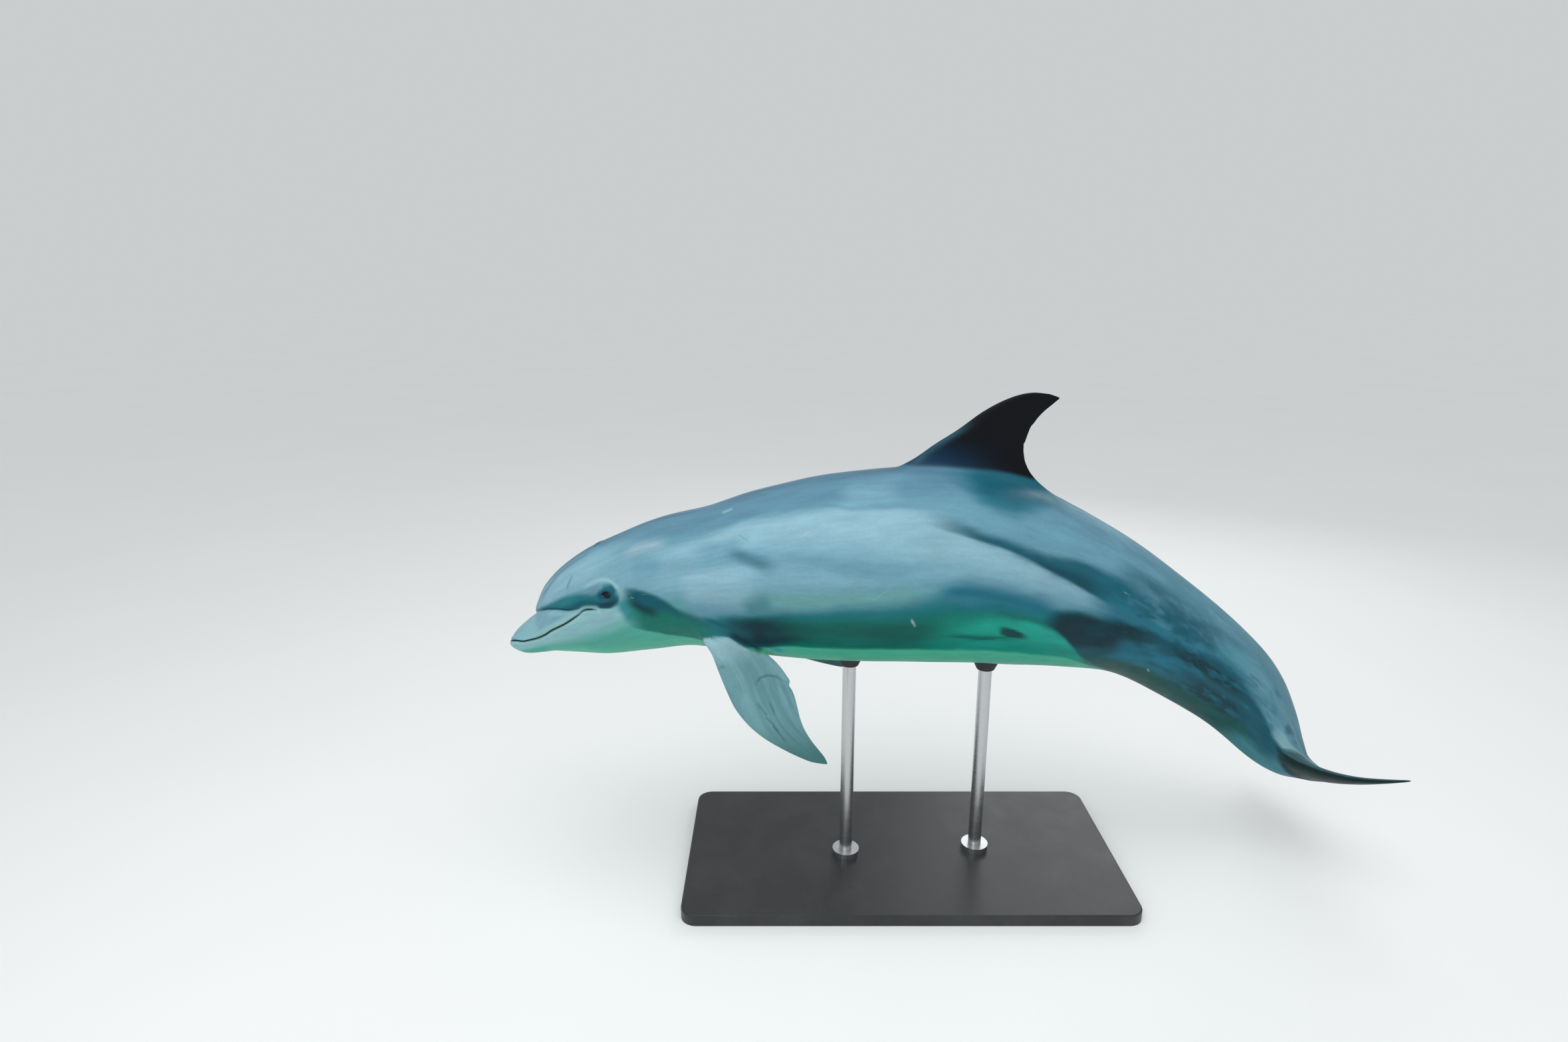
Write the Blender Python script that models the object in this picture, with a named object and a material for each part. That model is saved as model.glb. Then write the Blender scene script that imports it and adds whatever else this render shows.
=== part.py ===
"""Bottlenose dolphin, life size, as a still museum model on a plain display stand.

The body is laid out straight, as stations from the snout tip to the fluke notch, and then bent
along its own axis. Head toward -X, tail toward +X, the animal's left side toward -Y, up is +Z.
The origin is on the underside of the stand's base, at its middle. All sizes are in metres.
"""
import math

import bmesh
import bpy
import numpy as np
from mathutils import Matrix, Vector

for old in list(bpy.data.objects):
    bpy.data.objects.remove(old, do_unlink=True)
for old in list(bpy.data.collections):
    bpy.data.collections.remove(old)

# ------------------------------------------------------------------ driving sizes
LENGTH = 2.5                 # of the axis, from the snout tip to just past the fluke notch
GAP = 0.0003                 # clearance between neighbouring pieces
RING = 32                    # corners round a body section
SNOUT_TIP = (-1.031, 0.010, 0.632)

# landmark: station, rise above the axis, depth below it, half width, keel (shares of LENGTH;
# keel 1 is an ellipse, above 1 a sharper back and belly, below 1 a flatter one)
BODY = (
    (0.000, 0.0010, 0.0030, 0.0040, 0.90),    # snout tip
    (0.012, 0.0104, 0.0152, 0.0120, 0.88),
    (0.030, 0.0160, 0.0218, 0.0170, 0.88),    # beak
    (0.043, 0.0192, 0.0255, 0.0220, 0.92),    # crease between beak and melon
    (0.052, 0.0292, 0.0294, 0.0270, 0.95),
    (0.070, 0.0432, 0.0376, 0.0360, 0.96),    # melon
    (0.100, 0.0531, 0.0518, 0.0480, 0.97),
    (0.130, 0.0568, 0.0611, 0.0570, 1.00),    # eyes and blowhole
    (0.170, 0.0556, 0.0727, 0.0670, 1.00),    # nape and throat
    (0.220, 0.0550, 0.0825, 0.0760, 1.00),
    (0.280, 0.0704, 0.0937, 0.0840, 1.00),    # flipper roots
    (0.360, 0.0867, 0.1017, 0.0910, 1.00),
    (0.450, 0.0919, 0.1058, 0.0920, 1.00),    # dorsal fin, deepest belly
    (0.540, 0.0847, 0.1003, 0.0830, 1.03),
    (0.620, 0.0722, 0.0833, 0.0700, 1.08),
    (0.700, 0.0603, 0.0625, 0.0550, 1.16),    # vent
    (0.780, 0.0549, 0.0535, 0.0390, 1.28),
    (0.850, 0.0492, 0.0447, 0.0260, 1.32),    # tail stock
    (0.910, 0.0379, 0.0345, 0.0170, 1.25),
    (0.942, 0.0235, 0.0255, 0.0130, 1.10),
    (0.966, 0.0060, 0.0160, 0.0080, 1.00),    # end of the tail stock, between the flukes
)
# pose: station and slope of the axis in degrees, pitch is nose up to tail down, yaw turns away
PITCH = ((0.00, -26.3), (0.16, -26.3), (0.24, -5.5), (0.32, -0.4), (0.40, -0.8), (0.48, 6.8), (0.56, 17.5),
         (0.64, 24.8), (0.72, 33.5), (0.80, 38.7), (0.88, 51.0), (0.92, 46.0), (0.95, 35.0), (0.975, 17.0),
         (1.00, 8.0))
YAW = ((0.00, -4.7), (0.16, -4.7), (0.30, 1.0), (0.45, 4.0), (0.60, 4.2), (0.72, 4.0), (0.84, 3.0),
       (1.00, 3.0))

ROLL = ((0.00, 0.0), (0.66, 0.0), (0.80, 4.0), (0.90, 12.0), (0.96, 20.0), (1.00, 20.0))    # left side up

# cuts between the pieces of the trunk, by station
CUTS = (("head", 0.000, 0.165), ("neck", 0.165, 0.206), ("chest", 0.206, 0.345), ("belly", 0.345, 0.585),
        ("loins", 0.585, 0.735), ("tail_stock", 0.735, 0.966))
RINGS = {"head": 19, "neck": 3, "chest": 7, "belly": 11, "loins": 8, "tail_stock": 14}

# mouth, seen from the side: station and height on the head's axis
MOUTH = ((0.000, 0.0045), (0.010, 0.0041), (0.023, -0.0003), (0.040, -0.0017), (0.052, -0.0004),
         (0.064, 0.0021), (0.084, 0.0044), (0.104, 0.0085), (0.113, 0.0107), (0.121, 0.0090))
GAPE = (0.1262, 0.0069)
JAW_HINGE = (0.154, -0.0850)
CREASE = ((0.0430, 0.0600), (0.0440, 0.0200), (0.0520, 0.0165), (0.0680, 0.0150), (0.0850, 0.0140),
          (0.1050, 0.0132))

EYE_STATION = 0.1440
EYE_ANGLE = 73.0             # round the head from the crown
EYE_RADIUS = 0.0140
EYE_SINK = 0.0100            # centre below the skin
BLOWHOLE_STATION = 0.1350
BLOWHOLE_SIZE = (0.0070, 0.0160, 0.0110)

# dorsal fin, heights above the axis; leading and trailing edge by share of the height
FIN_BASE, FIN_TOP = 0.0880, 0.1783
FIN_LEAD = ((-0.4, 0.4120), (0.0, 0.4190), (0.13, 0.4310), (0.27, 0.4435), (0.47, 0.4630), (0.70, 0.4810),
            (0.875, 0.4980), (0.94, 0.5065), (0.98, 0.5150), (1.0, 0.5240))
FIN_TRAIL = ((-0.4, 0.5420), (0.0, 0.5400), (0.06, 0.5320), (0.12, 0.5255), (0.19, 0.5215), (0.26, 0.5193),
             (0.40, 0.5165), (0.60, 0.5175), (0.71, 0.5205), (0.80, 0.5235), (0.87, 0.5270), (0.94, 0.5305),
             (1.0, 0.5310))
FIN_THICK = ((-0.4, 0.0150), (0.0, 0.0130), (0.3, 0.0100), (0.7, 0.0060), (1.0, 0.0024))

# flippers: the root's place on the chest, then each one's splay outward from straight down, twist of
# the trailing edge inward and sweep back; edges by span
FLIPPER_STATION, FLIPPER_ANGLE = 0.252, 135.0
FLIPPER_POSE = {"left": (25.0, 15.0, 0.0), "right": (26.0, 15.0, 20.0)}
FLIPPER_FOOT, FLIPPER_SPAN = -0.028, 0.1190
FLIPPER_LEAD = ((-0.028, -0.0300), (-0.006, -0.0252), (0.011, -0.0186), (0.028, -0.0135), (0.048, -0.0057),
                (0.071, 0.0055), (0.088, 0.0226), (0.097, 0.0343), (0.108, 0.0522), (0.114, 0.0641),
                (0.1190, 0.0790))
FLIPPER_TRAIL = ((-0.028, 0.0230), (0.000, 0.0270), (0.012, 0.0330), (0.018, 0.0403), (0.032, 0.0507),
                 (0.040, 0.0537), (0.048, 0.0568), (0.064, 0.0612), (0.082, 0.0688), (0.097, 0.0753),
                 (0.112, 0.0849), (0.1190, 0.0850))
FLIPPER_THICK = ((-0.028, 0.0125), (0.000, 0.0112), (0.03, 0.0088), (0.07, 0.0062), (0.10, 0.0038),
                 (0.1190, 0.0020))

# flukes: how the blades sit below the axis and bow up to the tips; edges by distance from the midline,
# as stations ahead of the axis end
FLUKE_LIFT, FLUKE_BOW, FLUKE_SPAN = -0.0100, 0.0205, 0.1110
FLUKE_LEAD = ((0.0, -0.0960), (0.011, -0.0900), (0.028, -0.0740), (0.056, -0.0530), (0.080, -0.0360),
              (0.098, -0.0205), (0.106, -0.0110), (0.111, -0.0040))
FLUKE_TRAIL = ((0.0, -0.0230), (0.004, -0.0150), (0.011, -0.0090), (0.028, -0.0080), (0.056, -0.0105),
               (0.080, -0.0100), (0.098, -0.0065), (0.106, -0.0035), (0.111, -0.0015))
FLUKE_THICK = ((0.0, 0.0160), (0.028, 0.0120), (0.066, 0.0070), (0.094, 0.0042), (0.111, 0.0018))

BASE_SIZE = (1.16, 0.56, 0.030)
BASE_CORNER, BASE_EDGE = 0.040, 0.004
ROD_RADIUS = 0.0175
ROD_STATIONS = (("front", 0.372), ("rear", 0.545))
SADDLE_RADIUS, SADDLE_DEPTH = 0.050, 0.028
FERRULE_RADIUS, FERRULE_HEIGHT = 0.036, 0.016


# ------------------------------------------------------------------ curves and the bent axis
def smooth(x, knots):
    """Monotone cubic through (place, value) knots."""
    xs = np.array([k[0] for k in knots], float)
    ys = np.array([k[1] for k in knots], float)
    step = np.diff(xs)
    rate = np.diff(ys) / step
    slope = np.zeros(len(xs))
    slope[0], slope[-1] = rate[0], rate[-1]
    for i in range(1, len(xs) - 1):
        if rate[i - 1] * rate[i] > 0:
            a, b = 2 * step[i] + step[i - 1], step[i] + 2 * step[i - 1]
            slope[i] = (a + b) / (a / rate[i - 1] + b / rate[i])
    x = np.clip(np.asarray(x, float), xs[0], xs[-1])
    i = np.clip(np.searchsorted(xs, x, side="right") - 1, 0, len(step) - 1)
    t = (x - xs[i]) / step[i]
    return ((1 + 2 * t) * (1 - t) ** 2 * ys[i] + t * (1 - t) ** 2 * step[i] * slope[i]
            + t * t * (3 - 2 * t) * ys[i + 1] + t * t * (t - 1) * step[i] * slope[i + 1])


def make_axis(count=501):
    """Points and directions along the bent axis, from the slopes in PITCH, YAW and ROLL."""
    s = np.linspace(0.0, 1.0, count)
    pitch = np.radians(smooth(s, PITCH))
    yaw = np.radians(smooth(s, YAW))
    along = np.stack([np.cos(yaw) * np.cos(pitch), np.sin(yaw) * np.cos(pitch), -np.sin(pitch)], 1)
    right = np.stack([-np.sin(yaw), np.cos(yaw), 0 * yaw], 1)
    up = np.cross(along, right)
    roll = np.radians(smooth(s, ROLL))[:, None]
    right, up = right * np.cos(roll) - up * np.sin(roll), up * np.cos(roll) + right * np.sin(roll)
    steps = (along[1:] + along[:-1]) / 2 * (LENGTH / (count - 1))
    points = np.concatenate([[SNOUT_TIP], np.array(SNOUT_TIP) + np.cumsum(steps, 0)])
    return s, points, along, right, up


AXIS = make_axis()


def frame_at(s):
    """Axis point and the along, right and up directions at station s."""
    point, along, right, up = (np.array([np.interp(s, AXIS[0], table[:, k]) for k in range(3)])
                               for table in AXIS[1:])
    return point, along / np.linalg.norm(along), right / np.linalg.norm(right), up / np.linalg.norm(up)


def place(s, left, up):
    """World point from a station and metres to the animal's left and up, off the bent axis."""
    s = float(s)
    point, along, right_dir, up_dir = frame_at(min(max(s, 0.0), 1.0))
    over = (s - min(max(s, 0.0), 1.0)) * LENGTH
    return point + along * over - right_dir * left + up_dir * up


def section(s, angle, grow=0.0):
    """Left and up offsets of the skin at station s, angle in radians from the crown to the left."""
    top, bottom, half, keel = (float(smooth(s, [(row[0], row[k]) for row in BODY])) for k in (1, 2, 3, 4))
    c, w = math.cos(angle), math.sin(angle)
    left = (half * LENGTH + grow) * math.copysign(abs(w) ** keel, w)
    return left, ((top if c > 0 else bottom) * LENGTH + grow) * c


def skin_point(s, angle, grow=0.0):
    left, up = section(s, angle, grow)
    return place(s, left, up)


# ------------------------------------------------------------------ objects
parts = bpy.data.collections.new("bottlenose_dolphin")
guides = bpy.data.collections.new("cutters")
bpy.context.scene.collection.children.link(parts)
bpy.context.scene.collection.children.link(guides)


def material(name, colour, roughness, metallic=0.0):
    mat = bpy.data.materials.new(name)
    mat.use_nodes = True
    shader = mat.node_tree.nodes["Principled BSDF"]
    shader.inputs["Base Color"].default_value = (*colour, 1.0)
    shader.inputs["Roughness"].default_value = roughness
    shader.inputs["Metallic"].default_value = metallic
    mat.diffuse_color = (*colour, 1.0)
    return mat


COLOURS = {
    "head": (0.24, 0.31, 0.37), "upper_jaw": (0.30, 0.37, 0.42), "lower_jaw": (0.55, 0.60, 0.60),
    "eye_left": (0.02, 0.02, 0.025), "eye_right": (0.02, 0.02, 0.025), "blowhole": (0.10, 0.13, 0.17),
    "neck": (0.25, 0.32, 0.38), "chest": (0.27, 0.34, 0.40), "belly": (0.30, 0.37, 0.42),
    "loins": (0.24, 0.30, 0.36), "tail_stock": (0.20, 0.26, 0.32), "dorsal_fin": (0.06, 0.08, 0.11),
    "flipper_left": (0.20, 0.26, 0.31), "flipper_right": (0.20, 0.26, 0.31),
    "fluke_left": (0.08, 0.11, 0.14), "fluke_right": (0.08, 0.11, 0.14),
}


def add_object(name, mesh, kind="flesh"):
    """Link a mesh as a named piece with its own material, or as a wire cutter."""
    obj = bpy.data.objects.new(name, mesh)
    if kind == "cutter":
        guides.objects.link(obj)
        obj.display_type = "WIRE"
        obj.hide_render = True
        return obj
    parts.objects.link(obj)
    if kind == "flesh":
        mesh.materials.append(material(name, COLOURS[name], 0.45 if not name.startswith("eye") else 0.08))
    return obj


def finish(obj, angle=35.0):
    """Smooth shading with crisp cut edges."""
    mesh = obj.data
    for poly in mesh.polygons:
        poly.use_smooth = True
    mesh.set_sharp_from_angle(angle=math.radians(angle))


def loft(name, rings, kind="flesh"):
    """Closed solid through rings of equal count, capped at both ends.

    The sides are split the same way in every loft, so a mould follows its piece exactly."""
    count = len(rings[0])
    verts = [tuple(p) for ring in rings for p in ring]
    faces = []
    for i in range(len(rings) - 1):
        for j in range(count):
            a, b = i * count + j, i * count + (j + 1) % count
            faces += [(a, b, b + count), (a, b + count, a + count)]
    faces.append(tuple(reversed(range(count))))
    faces.append(tuple(range((len(rings) - 1) * count, len(rings) * count)))
    mesh = bpy.data.meshes.new(name)
    mesh.from_pydata(verts, [], faces)
    bm = bmesh.new()
    bm.from_mesh(mesh)
    bmesh.ops.recalc_face_normals(bm, faces=bm.faces)
    bm.to_mesh(mesh)
    bm.free()
    return add_object(name, mesh, kind)


def cut(obj, cutter, operation="DIFFERENCE"):
    mod = obj.modifiers.new("cut", "BOOLEAN")
    mod.operation = operation
    mod.solver = "EXACT"
    mod.object = cutter
    bpy.context.view_layer.objects.active = obj
    with bpy.context.temp_override(object=obj, active_object=obj, selected_objects=[obj]):
        bpy.ops.object.modifier_apply(modifier=mod.name)


def copy_of(obj, name):
    mesh = obj.data.copy()
    mesh.materials.clear()
    return add_object(name, mesh)


# ------------------------------------------------------------------ body
ANGLES = [2 * math.pi * j / RING for j in range(RING)]


def stations(name, start, end):
    """Ring stations of one piece of the trunk, closer together toward the snout tip."""
    t = np.linspace(0.0, 1.0, RINGS[name])
    if name == "head":
        t = 0.35 * t + 0.65 * t ** 1.6
        return [0.0005] + list(start + (end - start) * t[1:])
    return list(start + (end - start) * t)


def ring_at(s, grow=0.0):
    return [skin_point(s, a, grow) for a in ANGLES]


all_stations = []
for name, start, end in CUTS:
    own = stations(name, start, end)
    all_stations += own if not all_stations else own[1:]
    first = own[0] + (GAP / 2 / LENGTH if start > 0 else 0.0)
    last = own[-1] - (GAP / 2 / LENGTH if end < 0.96 else 0.0)
    loft(name, [ring_at(s) for s in [first] + own[1:-1] + [last]])

tip, end_ring = all_stations[0], all_stations[-1]
mould = loft("body_mould", [ring_at(s + d, GAP) for s, d in
                            [(tip, -GAP / LENGTH)] + [(s, 0) for s in all_stations[1:-1]]
                            + [(end_ring, GAP / LENGTH)]], kind="cutter")


# ------------------------------------------------------------------ jaws, eyes, blowhole
def side_prism(name, outline, width=0.32):
    """Block cut across the whole head, from an outline of stations and heights."""
    return loft(name, [[place(s, side * width, z * LENGTH) for s, z in outline] for side in (-1, 1)],
                kind="cutter")


def mouth_block(name, grow):
    g = grow / LENGTH
    line = [(-0.02, MOUTH[0][1] + g)] + [(s, z + g) for s, z in MOUTH[1:]]
    return side_prism(name, line + [(GAPE[0] + g, GAPE[1] + g), (JAW_HINGE[0] + g, JAW_HINGE[1]),
                                    (-0.02, JAW_HINGE[1])])


def beak_block(name, grow):
    g = grow / LENGTH
    line = [(s + g, z + g * (i > 0)) for i, (s, z) in enumerate(CREASE)]
    return side_prism(name, line + [(CREASE[-1][0] + g, -0.0500), (-0.02, -0.0500), (-0.02, CREASE[0][1])])


head = parts.objects["head"]
lower_jaw = copy_of(head, "lower_jaw")
cut(lower_jaw, mouth_block("mouth_cut", 0.0), "INTERSECT")
cut(head, mouth_block("mouth_cut_wide", GAP))
upper_jaw = copy_of(head, "upper_jaw")
cut(upper_jaw, beak_block("beak_cut", 0.0), "INTERSECT")
cut(head, beak_block("beak_cut_wide", GAP))


def ball(name, radii, centre, axes, kind="flesh", segments=16, rings=10):
    bpy.ops.mesh.primitive_uv_sphere_add(segments=segments, ring_count=rings, radius=1.0)
    made = bpy.context.active_object
    mesh = made.data
    rot = Matrix((Vector(axes[0]), Vector(axes[1]), Vector(axes[2]))).transposed().to_4x4()
    mesh.transform(Matrix.Translation(Vector(centre)) @ rot @ Matrix.Diagonal((*radii, 1.0)))
    bpy.data.objects.remove(made, do_unlink=True)
    mesh.name = name
    return add_object(name, mesh, kind)


def skin_frame(s, angle):
    """Outward, tailward and round-the-body directions of the skin at a place."""
    here = skin_point(s, angle)
    ahead = skin_point(s + 0.002, angle) - skin_point(s - 0.002, angle)
    round_it = skin_point(s, angle + 0.03) - skin_point(s, angle - 0.03)
    out = np.cross(round_it, ahead)
    axis_point = frame_at(s)[0]
    out *= math.copysign(1.0, float(np.dot(out, here - axis_point))) / np.linalg.norm(out)
    ahead /= np.linalg.norm(ahead)
    return here, out, ahead, np.cross(out, ahead)


for name, angle in (("eye_left", math.radians(EYE_ANGLE)), ("eye_right", math.radians(-EYE_ANGLE))):
    here, out, ahead, cross = skin_frame(EYE_STATION, angle)
    centre = here - out * EYE_SINK
    ball(name, (EYE_RADIUS,) * 3, centre, (ahead, cross, out))
    cut(head, ball(name + "_socket", (EYE_RADIUS + 1.5 * GAP,) * 3, centre, (ahead, cross, out), "cutter"))

here, out, ahead, cross = skin_frame(BLOWHOLE_STATION, 0.0)
plug_centre = here - out * 0.0085
ball("blowhole", BLOWHOLE_SIZE, plug_centre, (ahead, cross, out), segments=14, rings=8)
cut(head, ball("blowhole_pocket", [r + 1.5 * GAP for r in BLOWHOLE_SIZE], plug_centre, (ahead, cross, out),
               "cutter", 14, 8))


# ------------------------------------------------------------------ fins
FOIL = (0.0, 0.03, 0.10, 0.22, 0.40, 0.62, 0.84, 1.0)


def foil(lead, trail, thick):
    """Chord place and side offset round a fin section: blunt in front, fine at the back."""
    half = []
    for t in FOIL:
        shape = 1.48 * math.sqrt(t) - 0.63 * t - 1.76 * t ** 2 + 1.42 * t ** 3 - 0.46 * t ** 4
        half.append((lead + (trail - lead) * t, max(thick * shape, 0.0012 / LENGTH * (t > 0))))
    return half + [(x, -y) for x, y in reversed(half[1:])]


def fin_rings():
    shares = [-0.36, 0.0, 0.05, 0.11, 0.18, 0.28, 0.40, 0.52, 0.64, 0.75, 0.84, 0.91, 0.96, 0.985, 1.0]
    rings = []
    for h in shares:
        up = (FIN_BASE + (FIN_TOP - FIN_BASE) * h) * LENGTH
        loop = foil(float(smooth(h, FIN_LEAD)), float(smooth(h, FIN_TRAIL)), float(smooth(h, FIN_THICK)))
        rings.append([place(s, y * LENGTH, up) for s, y in loop])
    return rings


def flipper_rings(name, side):
    """side 1 is the animal's left, -1 its right."""
    root = skin_point(FLIPPER_STATION, side * math.radians(FLIPPER_ANGLE))
    _, along, right, up = frame_at(FLIPPER_STATION)
    splay, twist, sweep = (math.radians(v) for v in FLIPPER_POSE[name])
    down = -right * side * math.sin(splay) - up * math.cos(splay)
    outward = -right * side * math.cos(splay) + up * math.sin(splay)
    chord = along * math.cos(twist) - outward * math.sin(twist)
    down, chord = (down * math.cos(sweep) + chord * math.sin(sweep),
                   chord * math.cos(sweep) - down * math.sin(sweep))
    thick_dir = np.cross(chord, down)
    spans = np.concatenate([[FLIPPER_FOOT], np.linspace(0.0, 0.104, 12), [0.110, 0.1145, 0.1175, FLIPPER_SPAN]])
    rings = []
    for b in spans:
        loop = foil(float(smooth(b, FLIPPER_LEAD)), float(smooth(b, FLIPPER_TRAIL)),
                    float(smooth(b, FLIPPER_THICK)))
        rings.append([root + (chord * a + down * b + thick_dir * t) * LENGTH for a, t in loop])
    return rings


def fluke_rings(side):
    spans = [GAP / 2 / LENGTH, 0.004, 0.008, 0.014, 0.022, 0.033, 0.045, 0.058, 0.071, 0.083, 0.093, 0.101, 0.1065,
             0.1095, FLUKE_SPAN]
    rings = []
    for y in spans:
        loop = foil(float(smooth(y, FLUKE_LEAD)), float(smooth(y, FLUKE_TRAIL)), float(smooth(y, FLUKE_THICK)))
        lift = FLUKE_LIFT + FLUKE_BOW * (y / FLUKE_SPAN) ** 2
        rings.append([place(1.0 + x, side * y * LENGTH, (z + lift) * LENGTH) for x, z in loop])
    return rings


for name, rings in (("dorsal_fin", fin_rings()), ("flipper_left", flipper_rings("left", 1)),
                    ("flipper_right", flipper_rings("right", -1)), ("fluke_left", fluke_rings(1)),
                    ("fluke_right", fluke_rings(-1))):
    cut(loft(name, rings), mould)


# ------------------------------------------------------------------ stand
def give(obj, mat):
    obj.data.materials.clear()
    obj.data.materials.append(mat)


def cylinder(name, radius, bottom, top, x, y, kind="stand", top_radius=None):
    bpy.ops.mesh.primitive_cone_add(vertices=32, radius1=radius, radius2=top_radius or radius,
                                    depth=top - bottom, location=(x, y, (top + bottom) / 2))
    made = bpy.context.active_object
    mesh = made.data
    mesh.transform(made.matrix_world)
    bpy.data.objects.remove(made, do_unlink=True)
    mesh.name = name
    return add_object(name, mesh, kind)


bpy.ops.mesh.primitive_cube_add(size=1.0)
made = bpy.context.active_object
plate = made.data
plate.transform(Matrix.Translation((0, 0, BASE_SIZE[2] / 2)) @ Matrix.Diagonal((*BASE_SIZE, 1.0)))
bpy.data.objects.remove(made, do_unlink=True)
bm = bmesh.new()
bm.from_mesh(plate)
uprights = [e for e in bm.edges if abs(e.verts[0].co.z - e.verts[1].co.z) > 0.01]
bmesh.ops.bevel(bm, geom=uprights, offset=BASE_CORNER, segments=6, profile=0.5, affect="EDGES")
rim = [e for e in bm.edges if min(v.co.z for v in e.verts) > BASE_SIZE[2] - 1e-5]
bmesh.ops.bevel(bm, geom=rim, offset=BASE_EDGE, segments=2, profile=0.5, affect="EDGES")
bm.to_mesh(plate)
bm.free()
base = add_object("stand_base", plate, "stand")
give(base, material("stand_base", (0.035, 0.036, 0.038), 0.4))
rod_steel = (0.55, 0.56, 0.57)

for name, station in ROD_STATIONS:
    under = skin_point(station, math.pi)
    x, y, belly = float(under[0]), float(under[1]), float(under[2])
    foot = BASE_SIZE[2] + GAP
    cup_bottom = belly - SADDLE_DEPTH
    ferrule = cylinder("stand_ferrule_" + name, FERRULE_RADIUS, foot, foot + FERRULE_HEIGHT, x, y)
    rod = cylinder("stand_rod_" + name, ROD_RADIUS, foot + FERRULE_HEIGHT + GAP, cup_bottom - GAP, x, y)
    cup = cylinder("stand_saddle_" + name, ROD_RADIUS + 0.006, cup_bottom, belly + 0.03, x, y,
                   top_radius=SADDLE_RADIUS)
    cut(cup, mould)
    give(ferrule, material(ferrule.name, rod_steel, 0.3, 1.0))
    give(rod, material(rod.name, rod_steel, 0.3, 1.0))
    give(cup, material(cup.name, (0.05, 0.05, 0.055), 0.6))

for obj in parts.objects:
    finish(obj)
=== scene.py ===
"""Looks of the bottlenose dolphin: one hairless skin for all its flesh, glossy eyes, the stand's finish.

The skin is laid out like the solids: stations run from the snout tip to the fluke notch as shares of
the body's length, angles run round the body from the crown, positive on the animal's left, in degrees.
Sizes are in metres unless a name says otherwise.
"""
import math

import bmesh
import bpy
import numpy as np
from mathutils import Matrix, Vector, kdtree


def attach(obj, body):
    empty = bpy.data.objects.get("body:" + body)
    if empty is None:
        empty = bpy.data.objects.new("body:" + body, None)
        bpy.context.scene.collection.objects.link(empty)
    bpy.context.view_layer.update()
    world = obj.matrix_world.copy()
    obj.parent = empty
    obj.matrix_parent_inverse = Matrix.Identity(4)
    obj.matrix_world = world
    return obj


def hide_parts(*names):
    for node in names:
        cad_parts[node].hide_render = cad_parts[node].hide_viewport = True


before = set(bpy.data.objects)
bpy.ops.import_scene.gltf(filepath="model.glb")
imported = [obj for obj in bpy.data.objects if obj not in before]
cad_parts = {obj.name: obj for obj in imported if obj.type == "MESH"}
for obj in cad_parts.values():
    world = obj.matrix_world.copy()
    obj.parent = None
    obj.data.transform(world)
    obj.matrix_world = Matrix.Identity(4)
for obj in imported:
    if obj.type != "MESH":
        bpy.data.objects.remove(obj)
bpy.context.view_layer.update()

# ------------------------------------------------------------------ the body's shape
# the same shares of LENGTH as in the solids; the edges of fin and flippers are drawn a little finer.
# BODY rows: station, top, bottom, half width, and keel, above 1 where the sides are drawn in.
LENGTH = 2.5
SNOUT_TIP = (-1.031, 0.010, 0.632)
BODY = (
    (0.000, 0.0010, 0.0030, 0.0040, 0.90),
    (0.012, 0.0104, 0.0152, 0.0120, 0.88),
    (0.030, 0.0160, 0.0218, 0.0170, 0.88),
    (0.043, 0.0192, 0.0255, 0.0220, 0.92),
    (0.052, 0.0292, 0.0294, 0.0270, 0.95),
    (0.070, 0.0432, 0.0376, 0.0360, 0.96),
    (0.100, 0.0531, 0.0518, 0.0480, 0.97),
    (0.130, 0.0568, 0.0611, 0.0570, 1.00),
    (0.170, 0.0556, 0.0727, 0.0670, 1.00),
    (0.220, 0.0550, 0.0825, 0.0760, 1.00),
    (0.280, 0.0704, 0.0937, 0.0840, 1.00),
    (0.360, 0.0867, 0.1017, 0.0910, 1.00),
    (0.450, 0.0919, 0.1058, 0.0920, 1.00),
    (0.540, 0.0847, 0.1003, 0.0830, 1.03),
    (0.620, 0.0722, 0.0833, 0.0700, 1.08),
    (0.700, 0.0603, 0.0625, 0.0550, 1.16),
    (0.780, 0.0549, 0.0535, 0.0390, 1.28),
    (0.850, 0.0492, 0.0447, 0.0260, 1.32),
    (0.910, 0.0379, 0.0345, 0.0170, 1.25),
    (0.942, 0.0235, 0.0255, 0.0130, 1.10),
    (0.966, 0.0060, 0.0160, 0.0080, 1.00),
)
PITCH = (
    (0.0, -26.3), (0.16, -26.3), (0.24, -5.5), (0.32, -0.4), (0.4, -0.8), (0.48, 6.8), (0.56, 17.5),
    (0.64, 24.8), (0.72, 33.5), (0.8, 38.7), (0.88, 51.0), (0.92, 46.0), (0.95, 35.0), (0.975, 17.0),
    (1.0, 8.0))
YAW = ((0.0, -4.7), (0.16, -4.7), (0.3, 1.0), (0.45, 4.0), (0.6, 4.2), (0.72, 4.0), (0.84, 3.0), (1.0, 3.0))
ROLL = ((0.0, 0.0), (0.66, 0.0), (0.8, 4.0), (0.9, 12.0), (0.96, 20.0), (1.0, 20.0))
MOUTH = (
    (0.0, 0.0045), (0.01, 0.0041), (0.023, -0.0003), (0.04, -0.0017), (0.052, -0.0004), (0.064, 0.0021),
    (0.084, 0.0044), (0.104, 0.0085), (0.113, 0.0107), (0.121, 0.009), (0.1262, 0.0069))
FIN_BASE, FIN_FOOT, FIN_TOP = 0.088, 0.0905, 0.1783
FIN_LEAD = (
    (-0.4, 0.412), (0.0, 0.419), (0.13, 0.431), (0.27, 0.4435), (0.47, 0.463), (0.7, 0.481), (0.875, 0.498),
    (0.94, 0.5065), (0.965, 0.5112), (0.982, 0.516), (0.99, 0.52), (0.994, 0.5236))
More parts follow.
